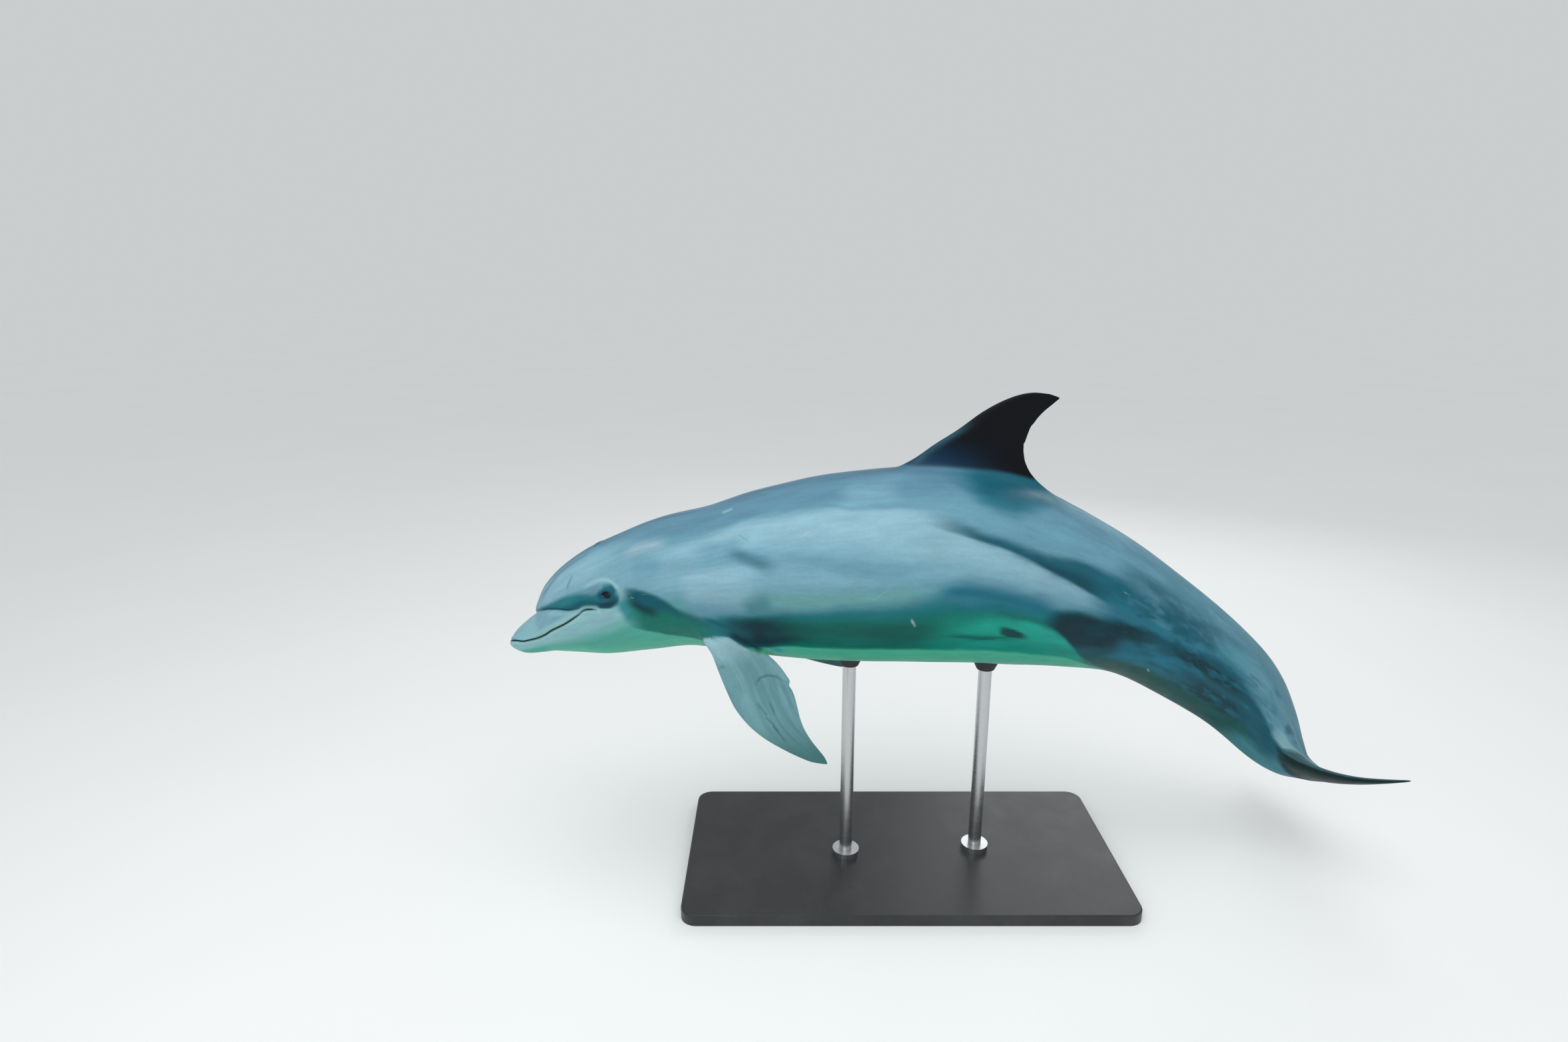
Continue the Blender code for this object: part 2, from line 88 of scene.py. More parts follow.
FIN_TRAIL = (
    (-0.4, 0.64), (-0.15, 0.58), (-0.09, 0.5635), (-0.056, 0.5545), (-0.012, 0.545), (0.04, 0.5362),
    (0.102, 0.5288), (0.19, 0.5228), (0.26, 0.5196), (0.4, 0.5165), (0.6, 0.5175), (0.71, 0.5205),
    (0.8, 0.5238), (0.898, 0.5284), (0.942, 0.5304), (0.972, 0.5316), (0.982, 0.5312), (0.99, 0.5278),
    (0.994, 0.5246))
FIN_THICK = ((-0.4, 0.015), (0.0, 0.013), (0.3, 0.01), (0.7, 0.006), (1.0, 0.0024))
FLIPPER_STATION, FLIPPER_ANGLE = 0.252, 135.0
FLIPPER_POSE = {1: (25.0, 15.0, 0.0), -1: (26.0, 15.0, 20.0)}
FLIPPER_FOOT, FLIPPER_SPAN = -0.028, 0.119
FLIPPER_LEAD = (
    (-0.028, -0.03), (-0.006, -0.0248), (0.011, -0.019), (0.028, -0.0133), (0.048, -0.0059),
    (0.06, -0.0006), (0.075, 0.0098), (0.0888, 0.024), (0.1, 0.0404), (0.11, 0.0582), (0.1157, 0.0704),
    (0.119, 0.0805))
FLIPPER_TRAIL = (
    (-0.028, 0.023), (0.0, 0.027), (0.012, 0.033), (0.018, 0.0398), (0.03, 0.0492), (0.0385, 0.0536),
    (0.046, 0.0556), (0.054, 0.0582), (0.064, 0.0603), (0.074, 0.0622), (0.0845, 0.0656), (0.0965, 0.0722),
    (0.1058, 0.079), (0.1125, 0.0838), (0.119, 0.0868))
FLIPPER_THICK = (
    (-0.028, 0.0125), (0.0, 0.0112), (0.03, 0.0088), (0.07, 0.0062), (0.1, 0.0038), (0.119, 0.002))
FLUKE_LIFT, FLUKE_BOW, FLUKE_SPAN = -0.01, 0.0205, 0.111
FLUKE_LEAD = (
    (0.0, -0.096), (0.011, -0.09), (0.028, -0.074), (0.056, -0.053), (0.08, -0.036), (0.098, -0.0205),
    (0.106, -0.011), (0.111, -0.004))
FLUKE_TRAIL = (
    (0.0, -0.023), (0.004, -0.015), (0.011, -0.009), (0.028, -0.008), (0.056, -0.0105), (0.08, -0.01),
    (0.098, -0.0065), (0.106, -0.0035), (0.111, -0.0015))
FLUKE_THICK = ((0.0, 0.016), (0.028, 0.012), (0.066, 0.007), (0.094, 0.0042), (0.111, 0.0018))
EYE_STATION, EYE_ANGLE, EYE_RADIUS, EYE_SINK = 0.144, 73.0, 0.014, 0.01

# the skin alone rounds off both ends of the body
BODY_END = BODY[-1][0]
TIP_STATION, TIP_FRONT = 0.01, -0.0005
TAIL_STATION, TAIL_END = 0.958, 0.9745


def smooth(x, knots):
    """Monotone cubic through (place, value) knots."""
    xs = np.array([k[0] for k in knots], float)
    ys = np.array([k[1] for k in knots], float)
    step = np.diff(xs)
    rate = np.diff(ys) / step
    slope = np.zeros(len(xs))
    slope[0], slope[-1] = rate[0], rate[-1]
    for i in range(1, len(xs) - 1):
        if rate[i - 1] * rate[i] > 0:
            a, b = 2 * step[i] + step[i - 1], step[i] + 2 * step[i - 1]
            slope[i] = (a + b) / (a / rate[i - 1] + b / rate[i])
    x = np.clip(np.asarray(x, float), xs[0], xs[-1])
    i = np.clip(np.searchsorted(xs, x, side="right") - 1, 0, len(step) - 1)
    t = (x - xs[i]) / step[i]
    return ((1 + 2 * t) * (1 - t) ** 2 * ys[i] + t * (1 - t) ** 2 * step[i] * slope[i]
            + t * t * (3 - 2 * t) * ys[i + 1] + t * t * (t - 1) * step[i] * slope[i + 1])


def ease(x, start, end):
    """0 at start to 1 at end, smoothly; start may be the larger."""
    t = np.clip((np.asarray(x, float) - start) / (end - start), 0.0, 1.0)
    return t * t * (3 - 2 * t)


def bell(x, width):
    return np.exp(-(np.asarray(x) / width) ** 2)


def unit(v):
    return v / np.maximum(np.linalg.norm(v, axis=-1, keepdims=True), 1e-12)


FINE = 4001                      # places worked out along the body, for tables read between them


def make_axis():
    """Points and directions along the bent axis, from the slopes in PITCH, YAW and ROLL."""
    s = np.linspace(0.0, 1.0, FINE)
    pitch, yaw = np.radians(smooth(s, PITCH)), np.radians(smooth(s, YAW))
    along = np.stack([np.cos(yaw) * np.cos(pitch), np.sin(yaw) * np.cos(pitch), -np.sin(pitch)], 1)
    right = np.stack([-np.sin(yaw), np.cos(yaw), 0 * yaw], 1)
    up = np.cross(along, right)
    roll = np.radians(smooth(s, ROLL))[:, None]
    right, up = right * np.cos(roll) - up * np.sin(roll), up * np.cos(roll) + right * np.sin(roll)
    steps = (along[1:] + along[:-1]) / 2 * (LENGTH / (FINE - 1))
    points = np.concatenate([[SNOUT_TIP], np.array(SNOUT_TIP) + np.cumsum(steps, 0)])
    return s, points, along, right, up


AXIS = make_axis()


def frame_at(s):
    """Axis points and the along, right and up directions at stations s."""
    s = np.asarray(s, float)
    inside = np.clip(s, 0.0, 1.0)
    point, along, right, up = (np.stack([np.interp(inside, AXIS[0], table[:, k]) for k in range(3)], -1)
                               for table in AXIS[1:])
    along, right, up = unit(along), unit(right), unit(up)
    return point + along * ((s - inside) * LENGTH)[..., None], along, right, up


def place(s, left, up):
    """World points from stations and metres to the animal's left and up, off the bent axis."""
    point, _, right_dir, up_dir = frame_at(s)
    return point - right_dir * np.asarray(left)[..., None] + up_dir * np.asarray(up)[..., None]


def make_profile():
    """Top, bottom, half width and keel by station, eased so that no knot shows behind the head."""
    s = np.linspace(0.0, BODY_END, FINE)
    step = s[1] - s[0]
    table = []
    for k in (1, 2, 3, 4):
        raw = smooth(s, [(row[0], row[k]) for row in BODY])
        reach = int(0.02 / step)
        kernel = bell(np.arange(-reach, reach + 1) * step, 0.011)
        ends = np.concatenate([2 * raw[0] - raw[reach:0:-1], raw, 2 * raw[-1] - raw[-2:-reach - 2:-1]])
        eased = np.convolve(ends, kernel / kernel.sum(), mode="valid")
        share = ease(s, 0.06, 0.12) * ease(s, 0.955, 0.925)
        table.append(raw + (eased - raw) * share)
    return s, table


PROFILE = make_profile()


def profile(s):
    """Top, bottom, half width (metres) and keel at stations s, with both ends rounded off."""
    s = np.asarray(s, float)
    top, bottom, half, keel = (np.interp(s, PROFILE[0], column) for column in PROFILE[1])
    sizes = []
    for k, size in enumerate((top, bottom, half)):
        at_tip, beyond = (float(np.interp(TIP_STATION + d, PROFILE[0], PROFILE[1][k])) for d in (0.0, 1e-4))
        reach = TIP_STATION - TIP_FRONT
        first = 2 * at_tip ** 2 / reach - 2 * at_tip * (beyond - at_tip) / 1e-4
        second = (at_tip ** 2 / reach - first) / reach
        t = np.clip(s - TIP_FRONT, 0.0, reach)
        sizes.append(np.where(s < TIP_STATION, np.sqrt(first * t + second * t * t), size) * LENGTH)
    return (*sizes, keel)


def section(s, angle):
    """Left and up offsets of the plain skin at stations s and angles."""
    s, turn = np.broadcast_arrays(np.asarray(s, float), np.radians(angle))
    top, bottom, half, keel = profile(s)
    c, w = np.cos(turn), np.sin(turn)
    left = half * np.sign(w) * np.abs(w) ** keel
    up = np.where(c > 0, top, bottom) * c
    past = np.clip(s - TAIL_STATION, 0, None) / (TAIL_END - TAIL_STATION)
    shrink = np.sqrt(np.clip(1 - past ** 2, 0, 1))
    middle = FLUKE_LIFT * LENGTH
    return left * shrink, np.where(s > TAIL_STATION, middle + (up - middle) * shrink, up)


def skin(s, angle):
    return place(s, *section(s, angle))


def skin_normal(s, angle):
    """Outward unit normals of the plain skin."""
    s, angle = np.broadcast_arrays(np.asarray(s, float), np.asarray(angle, float))
    ahead = skin(np.minimum(s + 4e-4, TAIL_END), angle) - skin(np.maximum(s - 4e-4, TIP_FRONT), angle)
    round_it = skin(s, angle + 0.4) - skin(s, angle - 0.4)
    normal = np.cross(ahead, round_it)
    outward = skin(s, angle) - frame_at(s)[0]
    normal = unit(normal * np.sign((normal * outward).sum(-1, keepdims=True)))
    flat = np.linalg.norm(round_it, axis=-1) < 1e-7
    normal[flat] = (frame_at(s)[1] * np.where(s < 0.5, -1.0, 1.0)[..., None])[flat]
    return normal


def body_place(points):
    """Station, left and up offsets of world points, by sliding along the axis to the nearest place."""
    coarse = AXIS[1][::40]
    s = AXIS[0][::40][np.argmin(((points[:, None] - coarse[None]) ** 2).sum(-1), axis=1)]
    for _ in range(8):
        point, along, _, _ = frame_at(s)
        s = np.clip(s + ((points - point) * along).sum(-1) / LENGTH * 0.9, -0.01, 1.03)
    point, _, right, up = frame_at(s)
    offset = points - point
    return s, -(offset * right).sum(-1), (offset * up).sum(-1)


def round_angle(s, left, up):
    """Angle round the body and height above its plain skin for offsets at stations s."""
    top, bottom, half, keel = profile(np.clip(s, TIP_FRONT, BODY_END))
    height = np.where(up > 0, top, bottom)
    wide = np.sign(left) * np.abs(left / np.maximum(half, 1e-6)) ** (1 / keel)
    tall = up / np.maximum(height, 1e-6)
    gauge = np.hypot(wide, tall)
    return np.degrees(np.arctan2(wide, tall)), (1 - 1 / np.maximum(gauge, 1e-6)) * np.hypot(left, up)


# ------------------------------------------------------------------ lines on the body
def trace(points, step=0.004):
    """World polyline on the plain skin through (station, angle) points."""
    points = np.array(points, float)
    if len(points) == 1:
        points = np.repeat(points, 2, 0) + [[0, 0], [1e-4, 0]]
    legs = np.linalg.norm(np.diff(skin(points[:, 0], points[:, 1]), axis=0), axis=1)
    reach = np.concatenate([[0], np.cumsum(legs)])
    t = np.linspace(0, reach[-1], max(int(reach[-1] / step), 2) + 1)
    return skin(*(smooth(t, list(zip(reach, points[:, k]))) for k in (0, 1)))


FAR = 1.0                        # metres: stands for any distance out of reach


def to_line(points, line, reach):
    """Distance from each point to a polyline, FAR beyond about reach, and the share of its length there."""
    distance = np.full(len(points), FAR)
    share = np.zeros(len(points))
    legs = len(line) - 1
    for first in range(0, legs, 20):
        part = line[first:first + 21]
        near = np.flatnonzero(((points > part.min(0) - reach) & (points < part.max(0) + reach)).all(1))
        start, leg = part[:-1], np.diff(part, axis=0)
        gap = points[near, None] - start
        t = np.clip((gap * leg).sum(-1) / (leg ** 2).sum(1), 0, 1)
        d = np.linalg.norm(gap - leg * t[..., None], axis=-1)
        best = d.argmin(1)
        nearest = d[np.arange(len(near)), best]
        closer = nearest < distance[near]
        distance[near[closer]] = nearest[closer]
        share[near[closer]] = ((first + best + t[np.arange(len(near)), best]) / legs)[closer]
    return distance, share


def lattice_noise(p, seed):
    """Smooth value noise from -1 to 1 at points p, already scaled to cells."""
    cell = np.floor(p).astype(np.int64)
    t = p - cell
    t = t * t * (3 - 2 * t)
    total = np.zeros(p.shape[:-1])
    for corner in np.ndindex(2, 2, 2):
        k = cell + corner
        h = k[..., 0] * 374761393 + k[..., 1] * 668265263 + k[..., 2] * 2147483647 + seed * 1274126177
        h = (h ^ (h >> 13)) * 1274126177
        value = ((h ^ (h >> 16)) & 0xFFFF) / 32767.5 - 1
        weight = np.prod(np.where(np.array(corner) == 1, t, 1 - t), axis=-1)
        total += value * weight
    return total


def clouds(p, size, seed, octaves=3):
    """Layered noise from about -1 to 1; size is the largest cell, one number or one for each axis."""
    total, share = 0.0, 0.0
    for k in range(octaves):
        total = total + lattice_noise(p / np.asarray(size) * 2 ** k, seed + k) * 0.55 ** k
        share += 0.55 ** k
    return total / share


# ------------------------------------------------------------------ the skin's grid
def spread(start, end, spacing):
    """Places from start to end whose gaps follow the (place, gap) knots."""
    fine = np.linspace(start, end, FINE)
    density = np.cumsum(1 / np.exp(smooth(fine, [(x, math.log(gap)) for x, gap in spacing])))
    count = int(round((density[-1] - density[0]) * (fine[1] - fine[0])))
    return np.interp(np.linspace(density[0], density[-1], count + 1), density, fine)


RING_GAPS = (
    (0.01, 0.0016), (0.12, 0.0016), (0.13, 0.0008), (0.157, 0.0008), (0.17, 0.0018), (0.2, 0.0032),
    (0.3, 0.0045), (0.4, 0.008), (0.84, 0.0075), (0.9, 0.0045), (0.974, 0.003))
COLUMN_GAPS = ((0, 1.9), (40, 1.5), (60, 0.42), (86, 0.38), (100, 0.75), (116, 1.6), (180, 2.0))
GAPE_ANGLE = 83.0


def half_columns():
    columns = spread(0.0, 180.0, COLUMN_GAPS)
    for exact in (EYE_ANGLE, GAPE_ANGLE):
        columns[np.abs(columns - exact).argmin()] = exact
    return columns


def mouth_angle(s):
    top, bottom, _, _ = profile(s)
    height = smooth(s, MOUTH) * LENGTH
    share = np.where(height > 0, height / np.maximum(top, 1e-6), height / np.maximum(bottom, 1e-6))
    return np.degrees(np.arccos(np.clip(share, -1, 1)))


TIP_RINGS = 22
tip_stations = TIP_FRONT + (TIP_STATION - TIP_FRONT) * (np.arange(TIP_RINGS) / TIP_RINGS) ** 2
trunk_stations = spread(TIP_STATION, TAIL_STATION, [(s, gap / LENGTH) for s, gap in RING_GAPS])
tail_turn = np.linspace(0, math.pi / 2, 10)[1:]
stations = np.concatenate([tip_stations, trunk_stations,
                           TAIL_STATION + (TAIL_END - TAIL_STATION) * np.sin(tail_turn)])
half = half_columns()
columns = np.concatenate([half, -half[-2:0:-1]])
S, A = (grid.copy() for grid in np.meshgrid(stations, columns, indexing="ij"))

# the columns bend so that one of them runs along the mouth
shift = np.maximum(mouth_angle(S), 40.0) - GAPE_ANGLE
shift *= ease(S, 0.1275, 0.1262)
swing = np.where(np.abs(A) < GAPE_ANGLE, ease(np.abs(A), 0, GAPE_ANGLE) ** 0.9,
                 ease(np.abs(A), 180.0, GAPE_ANGLE) ** 0.9)
A += np.sign(A) * shift * swing

# ------------------------------------------------------------------ eyes: the grid opens along a slit
EYE_TILT = -24.0                 # of the slit, rear corner down from the body's axis
SLIT = (-0.015, 0.0118)          # front and rear corners, along the slit
EYE_REACH, LID_FADE = 0.06, 0.016   # how far the grid bends, and how fast the opening fades from the slit
UPPER_LID = (
    (-0.015, 0.0), (-0.0105, 0.0042), (-0.006, 0.0076), (0.0, 0.0093), (0.005, 0.0082), (0.009, 0.005),
    (0.0118, 0.0))
LOWER_LID = (
    (-0.015, 0.0), (-0.0105, 0.0022), (-0.006, 0.0056), (0.0, 0.0087), (0.005, 0.0083), (0.009, 0.0052),
    (0.0118, 0.0))
eye_column = int(np.flatnonzero(half == EYE_ANGLE)[0])
EYE_ROUND = float(np.linalg.norm(skin(EYE_STATION, EYE_ANGLE + 1) - skin(EYE_STATION, EYE_ANGLE - 1)) / 2)
slit_along = (stations - EYE_STATION) * LENGTH
slit_rows = np.flatnonzero((slit_along > SLIT[0]) & (slit_along < SLIT[1]))
slit_along = slit_along[slit_rows]
slit_rise = 0 * slit_along
lid_along = (S - EYE_STATION) * LENGTH
lid_rise = (EYE_ANGLE - np.abs(A)) * EYE_ROUND
lid_side = np.where(lid_rise >= 0, 1.0, -1.0)


def open_lids(along, rise, side):
    """Station and angle of grid points round an eye; side is +1 above the slit and -1 below it."""
    lid = np.where(side > 0, smooth(along, UPPER_LID), smooth(along, LOWER_LID))
    lid = lid * ((along > SLIT[0]) & (along < SLIT[1]))
    opened = rise + side * lid * np.exp(-np.abs(rise) / LID_FADE)
    turn = math.radians(EYE_TILT) * ease(np.hypot(along, opened), 0.046, 0.016)
    along, rise = along * np.cos(turn) - opened * np.sin(turn), along * np.sin(turn) + opened * np.cos(turn)
    return EYE_STATION + along / LENGTH, EYE_ANGLE - rise / EYE_ROUND


near_eye = np.hypot(lid_along, lid_rise) < EYE_REACH
lid_s, lid_a = open_lids(lid_along, lid_rise, lid_side)
S = np.where(near_eye, lid_s, S)
A = np.where(near_eye, np.sign(A) * lid_a, A)
low_s, low_a = open_lids(slit_along, slit_rise, -1.0)
rows, cols = S.shape


def with_lower_lids(grid, left, right):
    """Values at every point of the skin: the grid, then each slit's second copy, for the lower lids."""
    return np.concatenate([grid.ravel(), left, right])


grid_s = with_lower_lids(S, low_s, low_s)
grid_a = with_lower_lids(A, low_a, -low_a)
eye_along = with_lower_lids(lid_along, slit_along, slit_along)
eye_rise = with_lower_lids(lid_rise, slit_rise, slit_rise)
eye_side = with_lower_lids(lid_side, slit_rise - 1, slit_rise - 1)
eye_near = with_lower_lids(near_eye, slit_rise == 0, slit_rise == 0)

# ------------------------------------------------------------------ forms raised and sunk in the skin
plain = skin(grid_s, grid_a)
normal = skin_normal(grid_s, grid_a)
rise = np.zeros(len(plain))
relief_place = np.stack([grid_s * LENGTH, np.radians(grid_a) * 0.2, 0 * grid_s], -1)


def mirrored(line):
    """A line of (station, angle) points and its mirror image; one on the midline stays alone."""
    if all(a in (0, 180) for _, a in line):
        return (line,)
    return (line, [(s, -a) for s, a in line])


def faded(share, taper):
    """1 along a line, easing to 0 over the taper share of its length at both ends."""
    return ease(share, 0, taper) * ease(share, 1, 1 - taper) if taper else 1.0


# blowhole: a crescent with its horns forward
BLOWHOLE_STATION, BLOWHOLE_HALF, BLOWHOLE_BEND, BLOWHOLE_TOP = 0.139, 0.017, 0.009, 0.0555
bow = np.linspace(-1, 1, 41)
blowhole_line = skin(BLOWHOLE_STATION - BLOWHOLE_BEND * bow ** 2 / LENGTH,
                     np.degrees(BLOWHOLE_HALF * bow / (BLOWHOLE_TOP * LENGTH)))
d, share = to_line(plain, blowhole_line, 0.03)
rise += 0.0012 * bell(d - 0.006, 0.0042)
rise -= 0.006 * bell(d, 0.0021) * faded(share, 0.12)

# soft lines: (station, angle) points, height or, below 0, depth, width, share of each end that fades
FORMS = (
    # shoulder, belly and the long muscle line of the flank
    (((0.245, 122), (0.285, 128)), 0.006, 0.055, 0),
    (((0.455, 110), (0.485, 112)), 0.0045, 0.035, 0),
    (((0.3, 62), (0.42, 64), (0.55, 72), (0.68, 80), (0.8, 86)), -0.0022, 0.03, 0.3),
    # folds of the belly and behind the flipper
    (((0.474, 124), (0.5, 123), (0.525, 119), (0.548, 116)), -0.0032, 0.006, 0.3),
    (((0.516, 113), (0.53, 115), (0.548, 117)), -0.0022, 0.005, 0.3),
    (((0.286, 140), (0.302, 133), (0.33, 128)), -0.003, 0.009, 0.4),
    # arch over the flipper's root
    (((0.238, 133), (0.256, 136)), 0.008, 0.024, 0),
    (((0.22, 148), (0.2225, 136), (0.229, 127), (0.238, 122.5), (0.248, 122.5), (0.26, 128), (0.272, 136),
      (0.284, 143)), -0.003, 0.0042, 0.2),
    # ridges behind the dorsal fin and from the tail stock into the flukes
    (((0.515, 0), (0.572, 0)), 0.006, 0.024, 0.5),
    (((0.84, 74), (0.87, 71), (0.905, 68), (0.935, 78), (0.952, 90)), 0.003, 0.01, 0),
    # navel, genital and anal slits
    (((0.465, 180), (0.47, 180)), -0.0025, 0.007, 0.4),
    (((0.602, 180), (0.632, 180)), -0.004, 0.0028, 0.2),
    (((0.688, 180), (0.696, 180)), -0.003, 0.0026, 0.2),
    # corner of the mouth, and the plug of the blowhole
    (((0.1255, 83), (0.129, 86), (0.131, 91)), -0.0014, 0.003, 0.5),
    (((BLOWHOLE_STATION - 0.004, 0),), 0.0008, 0.0075, 0),
)
for points, height, width, taper in FORMS:
    step, reach = (0.02, 3) if height > 0 else (0.004, 4)
    for line in mirrored(points):
        d, share = to_line(plain, trace(line, step), width * reach)
        rise += height * bell(d, width) * faded(share, taper)

# long soft muscle relief
rise += 0.0012 * clouds(relief_place, (0.3, 0.12, 1), 5) * ease(grid_s, 0.12, 0.25) * ease(grid_s, 0.97, 0.9)

# mouth: a cleft between two soft lips
mouth_stations = np.linspace(0.0, MOUTH[-1][0], 280)
mouth_stations = mouth_stations[mouth_angle(mouth_stations) > 4.0]
mouth_line = np.concatenate([skin(mouth_stations, mouth_angle(mouth_stations))[::-1],
                             skin(mouth_stations, -mouth_angle(mouth_stations))])
d, share = to_line(plain, mouth_line, 0.04)
above_mouth = section(grid_s, grid_a)[1] > smooth(grid_s, MOUTH) * LENGTH
to_gape = np.abs(share - 0.5) * 2
rise += np.where(above_mouth, 0.0014, 0.001) * bell(d - 0.0055, 0.0045) * ease(to_gape, 1.0, 0.9)
rise -= 0.005 * bell(d, 0.0016) * (0.1 + 0.9 * ease(to_gape, 1.0, 0.93))

# the fold where the melon overhangs the beak
CREASE = (
    (0.043, 0), (0.0455, 18), (0.0535, 38), (0.062, 51), (0.0716, 58.5), (0.084, 66), (0.097, 72.5),
    (0.111, 75.5), (0.118, 77))
crease_left, crease_right = (trace(line, 0.002) for line in mirrored(CREASE))
crease_line = np.concatenate([crease_left[::-1], crease_right[1:]])
d, share = to_line(plain, crease_line, 0.05)
crease_angles = np.interp(grid_s, *zip(*CREASE))
on_melon = (np.abs(grid_a) < crease_angles) & (grid_s > CREASE[0][0])
melon_side = 0.003 * ((1 - np.exp(-d / 0.006)) * np.exp(-d / 0.03) - bell(d, 0.003))
beak_side = -0.003 * bell(d, 0.0026) - 0.0008 * bell(d, 0.01)
rise += np.where(on_melon, melon_side, beak_side) * (d < FAR) * ease(np.abs(share - 0.5) * 2, 1.0, 0.7)

# ear: a pinhole with a faint rim
EAR = ((0.165, 81.5),)
for line in mirrored(EAR):
    d, _ = to_line(plain, trace(line), 0.012)
    rise += 0.0005 * bell(d - 0.0035, 0.0018) - 0.0024 * bell(d, 0.0013)

# lids: a low mound, wrinkles that follow the rim, a bag below and a tear groove in front
past_corner = np.maximum(np.maximum(eye_along - SLIT[1], SLIT[0] - eye_along), 0.0)
from_rim = np.hypot(past_corner, eye_rise)
near_middle = bell(eye_along - 0.001, 0.016)
lids = 0.004 * bell(np.hypot(eye_along / 1.2, eye_rise + 0.001), 0.021)
UPPER_WRINKLES = ((0.0022, 0.0007), (0.0048, 0.0008), (0.0078, 0.0008), (0.0112, 0.0006), (0.015, 0.0005))
LOWER_WRINKLES = ((0.003, 0.0007), (0.0065, 0.0007), (0.0105, 0.0005))
for offset, depth in UPPER_WRINKLES:
    lids -= depth * bell(from_rim - offset, 0.0009) * near_middle * (eye_side > 0)
for offset, depth in LOWER_WRINKLES:
    lids -= depth * bell(from_rim - offset, 0.001) * (eye_side < 0) * ease(eye_along, -0.012, 0.004)
lids -= 0.0016 * bell(eye_rise + 0.014, 0.004) * bell(eye_along - 0.001, 0.017)
lids -= 0.0012 * bell(eye_rise, 0.0011) * ease(eye_along, -0.026, -0.017) * (eye_along < SLIT[0])
rise += lids * eye_near

surface = plain + normal * rise[:, None]


# ------------------------------------------------------------------ the skin's faces, closed at both ends
def grid_faces():
    """Quads of the grid; below the slits they hang on the second copy of its points."""
    i, j = np.meshgrid(np.arange(1, rows - 2), np.arange(cols), indexing="ij")
    right = (j + 1) % cols
    quads = np.stack([i * cols + j, i * cols + right, (i + 1) * cols + right, (i + 1) * cols + j], -1)
    quads, j = quads.reshape(-1, 4), j.ravel()
    for copy, column, below in ((0, eye_column, eye_column), (1, cols - eye_column, cols - eye_column - 1)):
        first = rows * cols + copy * len(slit_rows)
        swap = {int(r * cols + column): first + k for k, r in enumerate(slit_rows)}
        for q in np.flatnonzero(j == below):
            quads[q] = [swap.get(int(v), int(v)) for v in quads[q]]
    return [tuple(int(v) for v in q) for q in quads]


def rim_loop(side):
    """Points round an eye's opening, from the front corner over the upper lid and back under."""
    column = eye_column if side > 0 else cols - eye_column
    first = rows * cols + (0 if side > 0 else len(slit_rows))
    lower = [first + k for k in range(len(slit_rows))]
    upper = [int(r * cols + column) for r in range(slit_rows[0] - 1, slit_rows[-1] + 2)]
    return upper + lower[::-1]


def eye_frame(side):
    """Centre of an eyeball and the outward, along-slit and upward directions there."""
    angle = side * EYE_ANGLE
    here, out = skin(EYE_STATION, angle), skin_normal(EYE_STATION, angle)
    ahead = unit(skin(EYE_STATION + 0.002, angle) - skin(EYE_STATION - 0.002, angle))
    upward = unit(skin(EYE_STATION, angle - side) - skin(EYE_STATION, angle + side))
    c, w = math.cos(math.radians(EYE_TILT)), math.sin(math.radians(EYE_TILT))
    return here - out * EYE_SINK, out, ahead * c + upward * w, upward * c - ahead * w


SOCKET_RADIUS, SOCKET_RINGS = EYE_RADIUS + 0.0004, 8


def socket(side):
    """Rings of points from an eye's rim over the lid's edge and round behind the eyeball, to a point."""
    centre, out, _, _ = eye_frame(side)
    rim = surface[rim_loop(side)]
    inward = unit(rim.mean(0) - rim)
    rings = [rim + inward * 0.0006 - out * 0.0005, rim + inward * 0.001 - out * 0.0018]
    ball = unit(rings[-1] - centre)
    start = np.arccos(np.clip(ball @ out, -1, 1))
    sideways = unit(ball - out * (ball @ out)[:, None])
    for t in np.arange(SOCKET_RINGS) / SOCKET_RINGS:
        turn = (start + (math.pi - start) * t)[:, None]
        rings.append(centre + SOCKET_RADIUS * (out * np.cos(turn) + sideways * np.sin(turn)))
    return rings, centre - out * SOCKET_RADIUS


def closed_mesh(name, points, faces, mark):
    """Mesh with outward faces and no loose points, its faces marked as one piece of the skin."""
    mesh = bpy.data.meshes.new(name)
    mesh.from_pydata([tuple(p) for p in points], [], faces)
    bm = bmesh.new()
    bm.from_mesh(mesh)
    bmesh.ops.delete(bm, geom=[v for v in bm.verts if not v.link_faces], context="VERTS")
    bmesh.ops.recalc_face_normals(bm, faces=bm.faces)
    bm.to_mesh(mesh)
    bm.free()
    attribute = mesh.attributes.new("piece", "INT", "FACE")
    attribute.data.foreach_set("value", np.full(len(mesh.polygons), mark, np.int32))
    obj = bpy.data.objects.new(name, mesh)
    bpy.context.scene.collection.objects.link(obj)
    return obj


def whole_body():
    """The body's skin with both ends closed and both sockets, still without its fins."""
    points, faces = list(surface), grid_faces()
    for pole, ring in ((0, 1), (rows - 1, rows - 2)):
        faces += [(pole * cols, ring * cols + j, ring * cols + (j + 1) % cols) for j in range(cols)]
    for side in (1, -1):
        loop = rim_loop(side)
        count = len(loop)
        rings, pole = socket(side)
        for ring in rings:
            new = [len(points) + k for k in range(count)]
            points += list(ring)
            faces += [(loop[k - 1], loop[k], new[k], new[k - 1]) for k in range(count)]
            loop = new
        faces += [(loop[k - 1], loop[k], len(points)) for k in range(count)]
        points.append(pole)
    return closed_mesh("dolphin_skin", points, faces, 0)


dolphin = whole_body()


# ------------------------------------------------------------------ fins, flippers and flukes
FOIL_STEPS = 84
THINNEST = 0.0009                # half thickness of a fin's edge


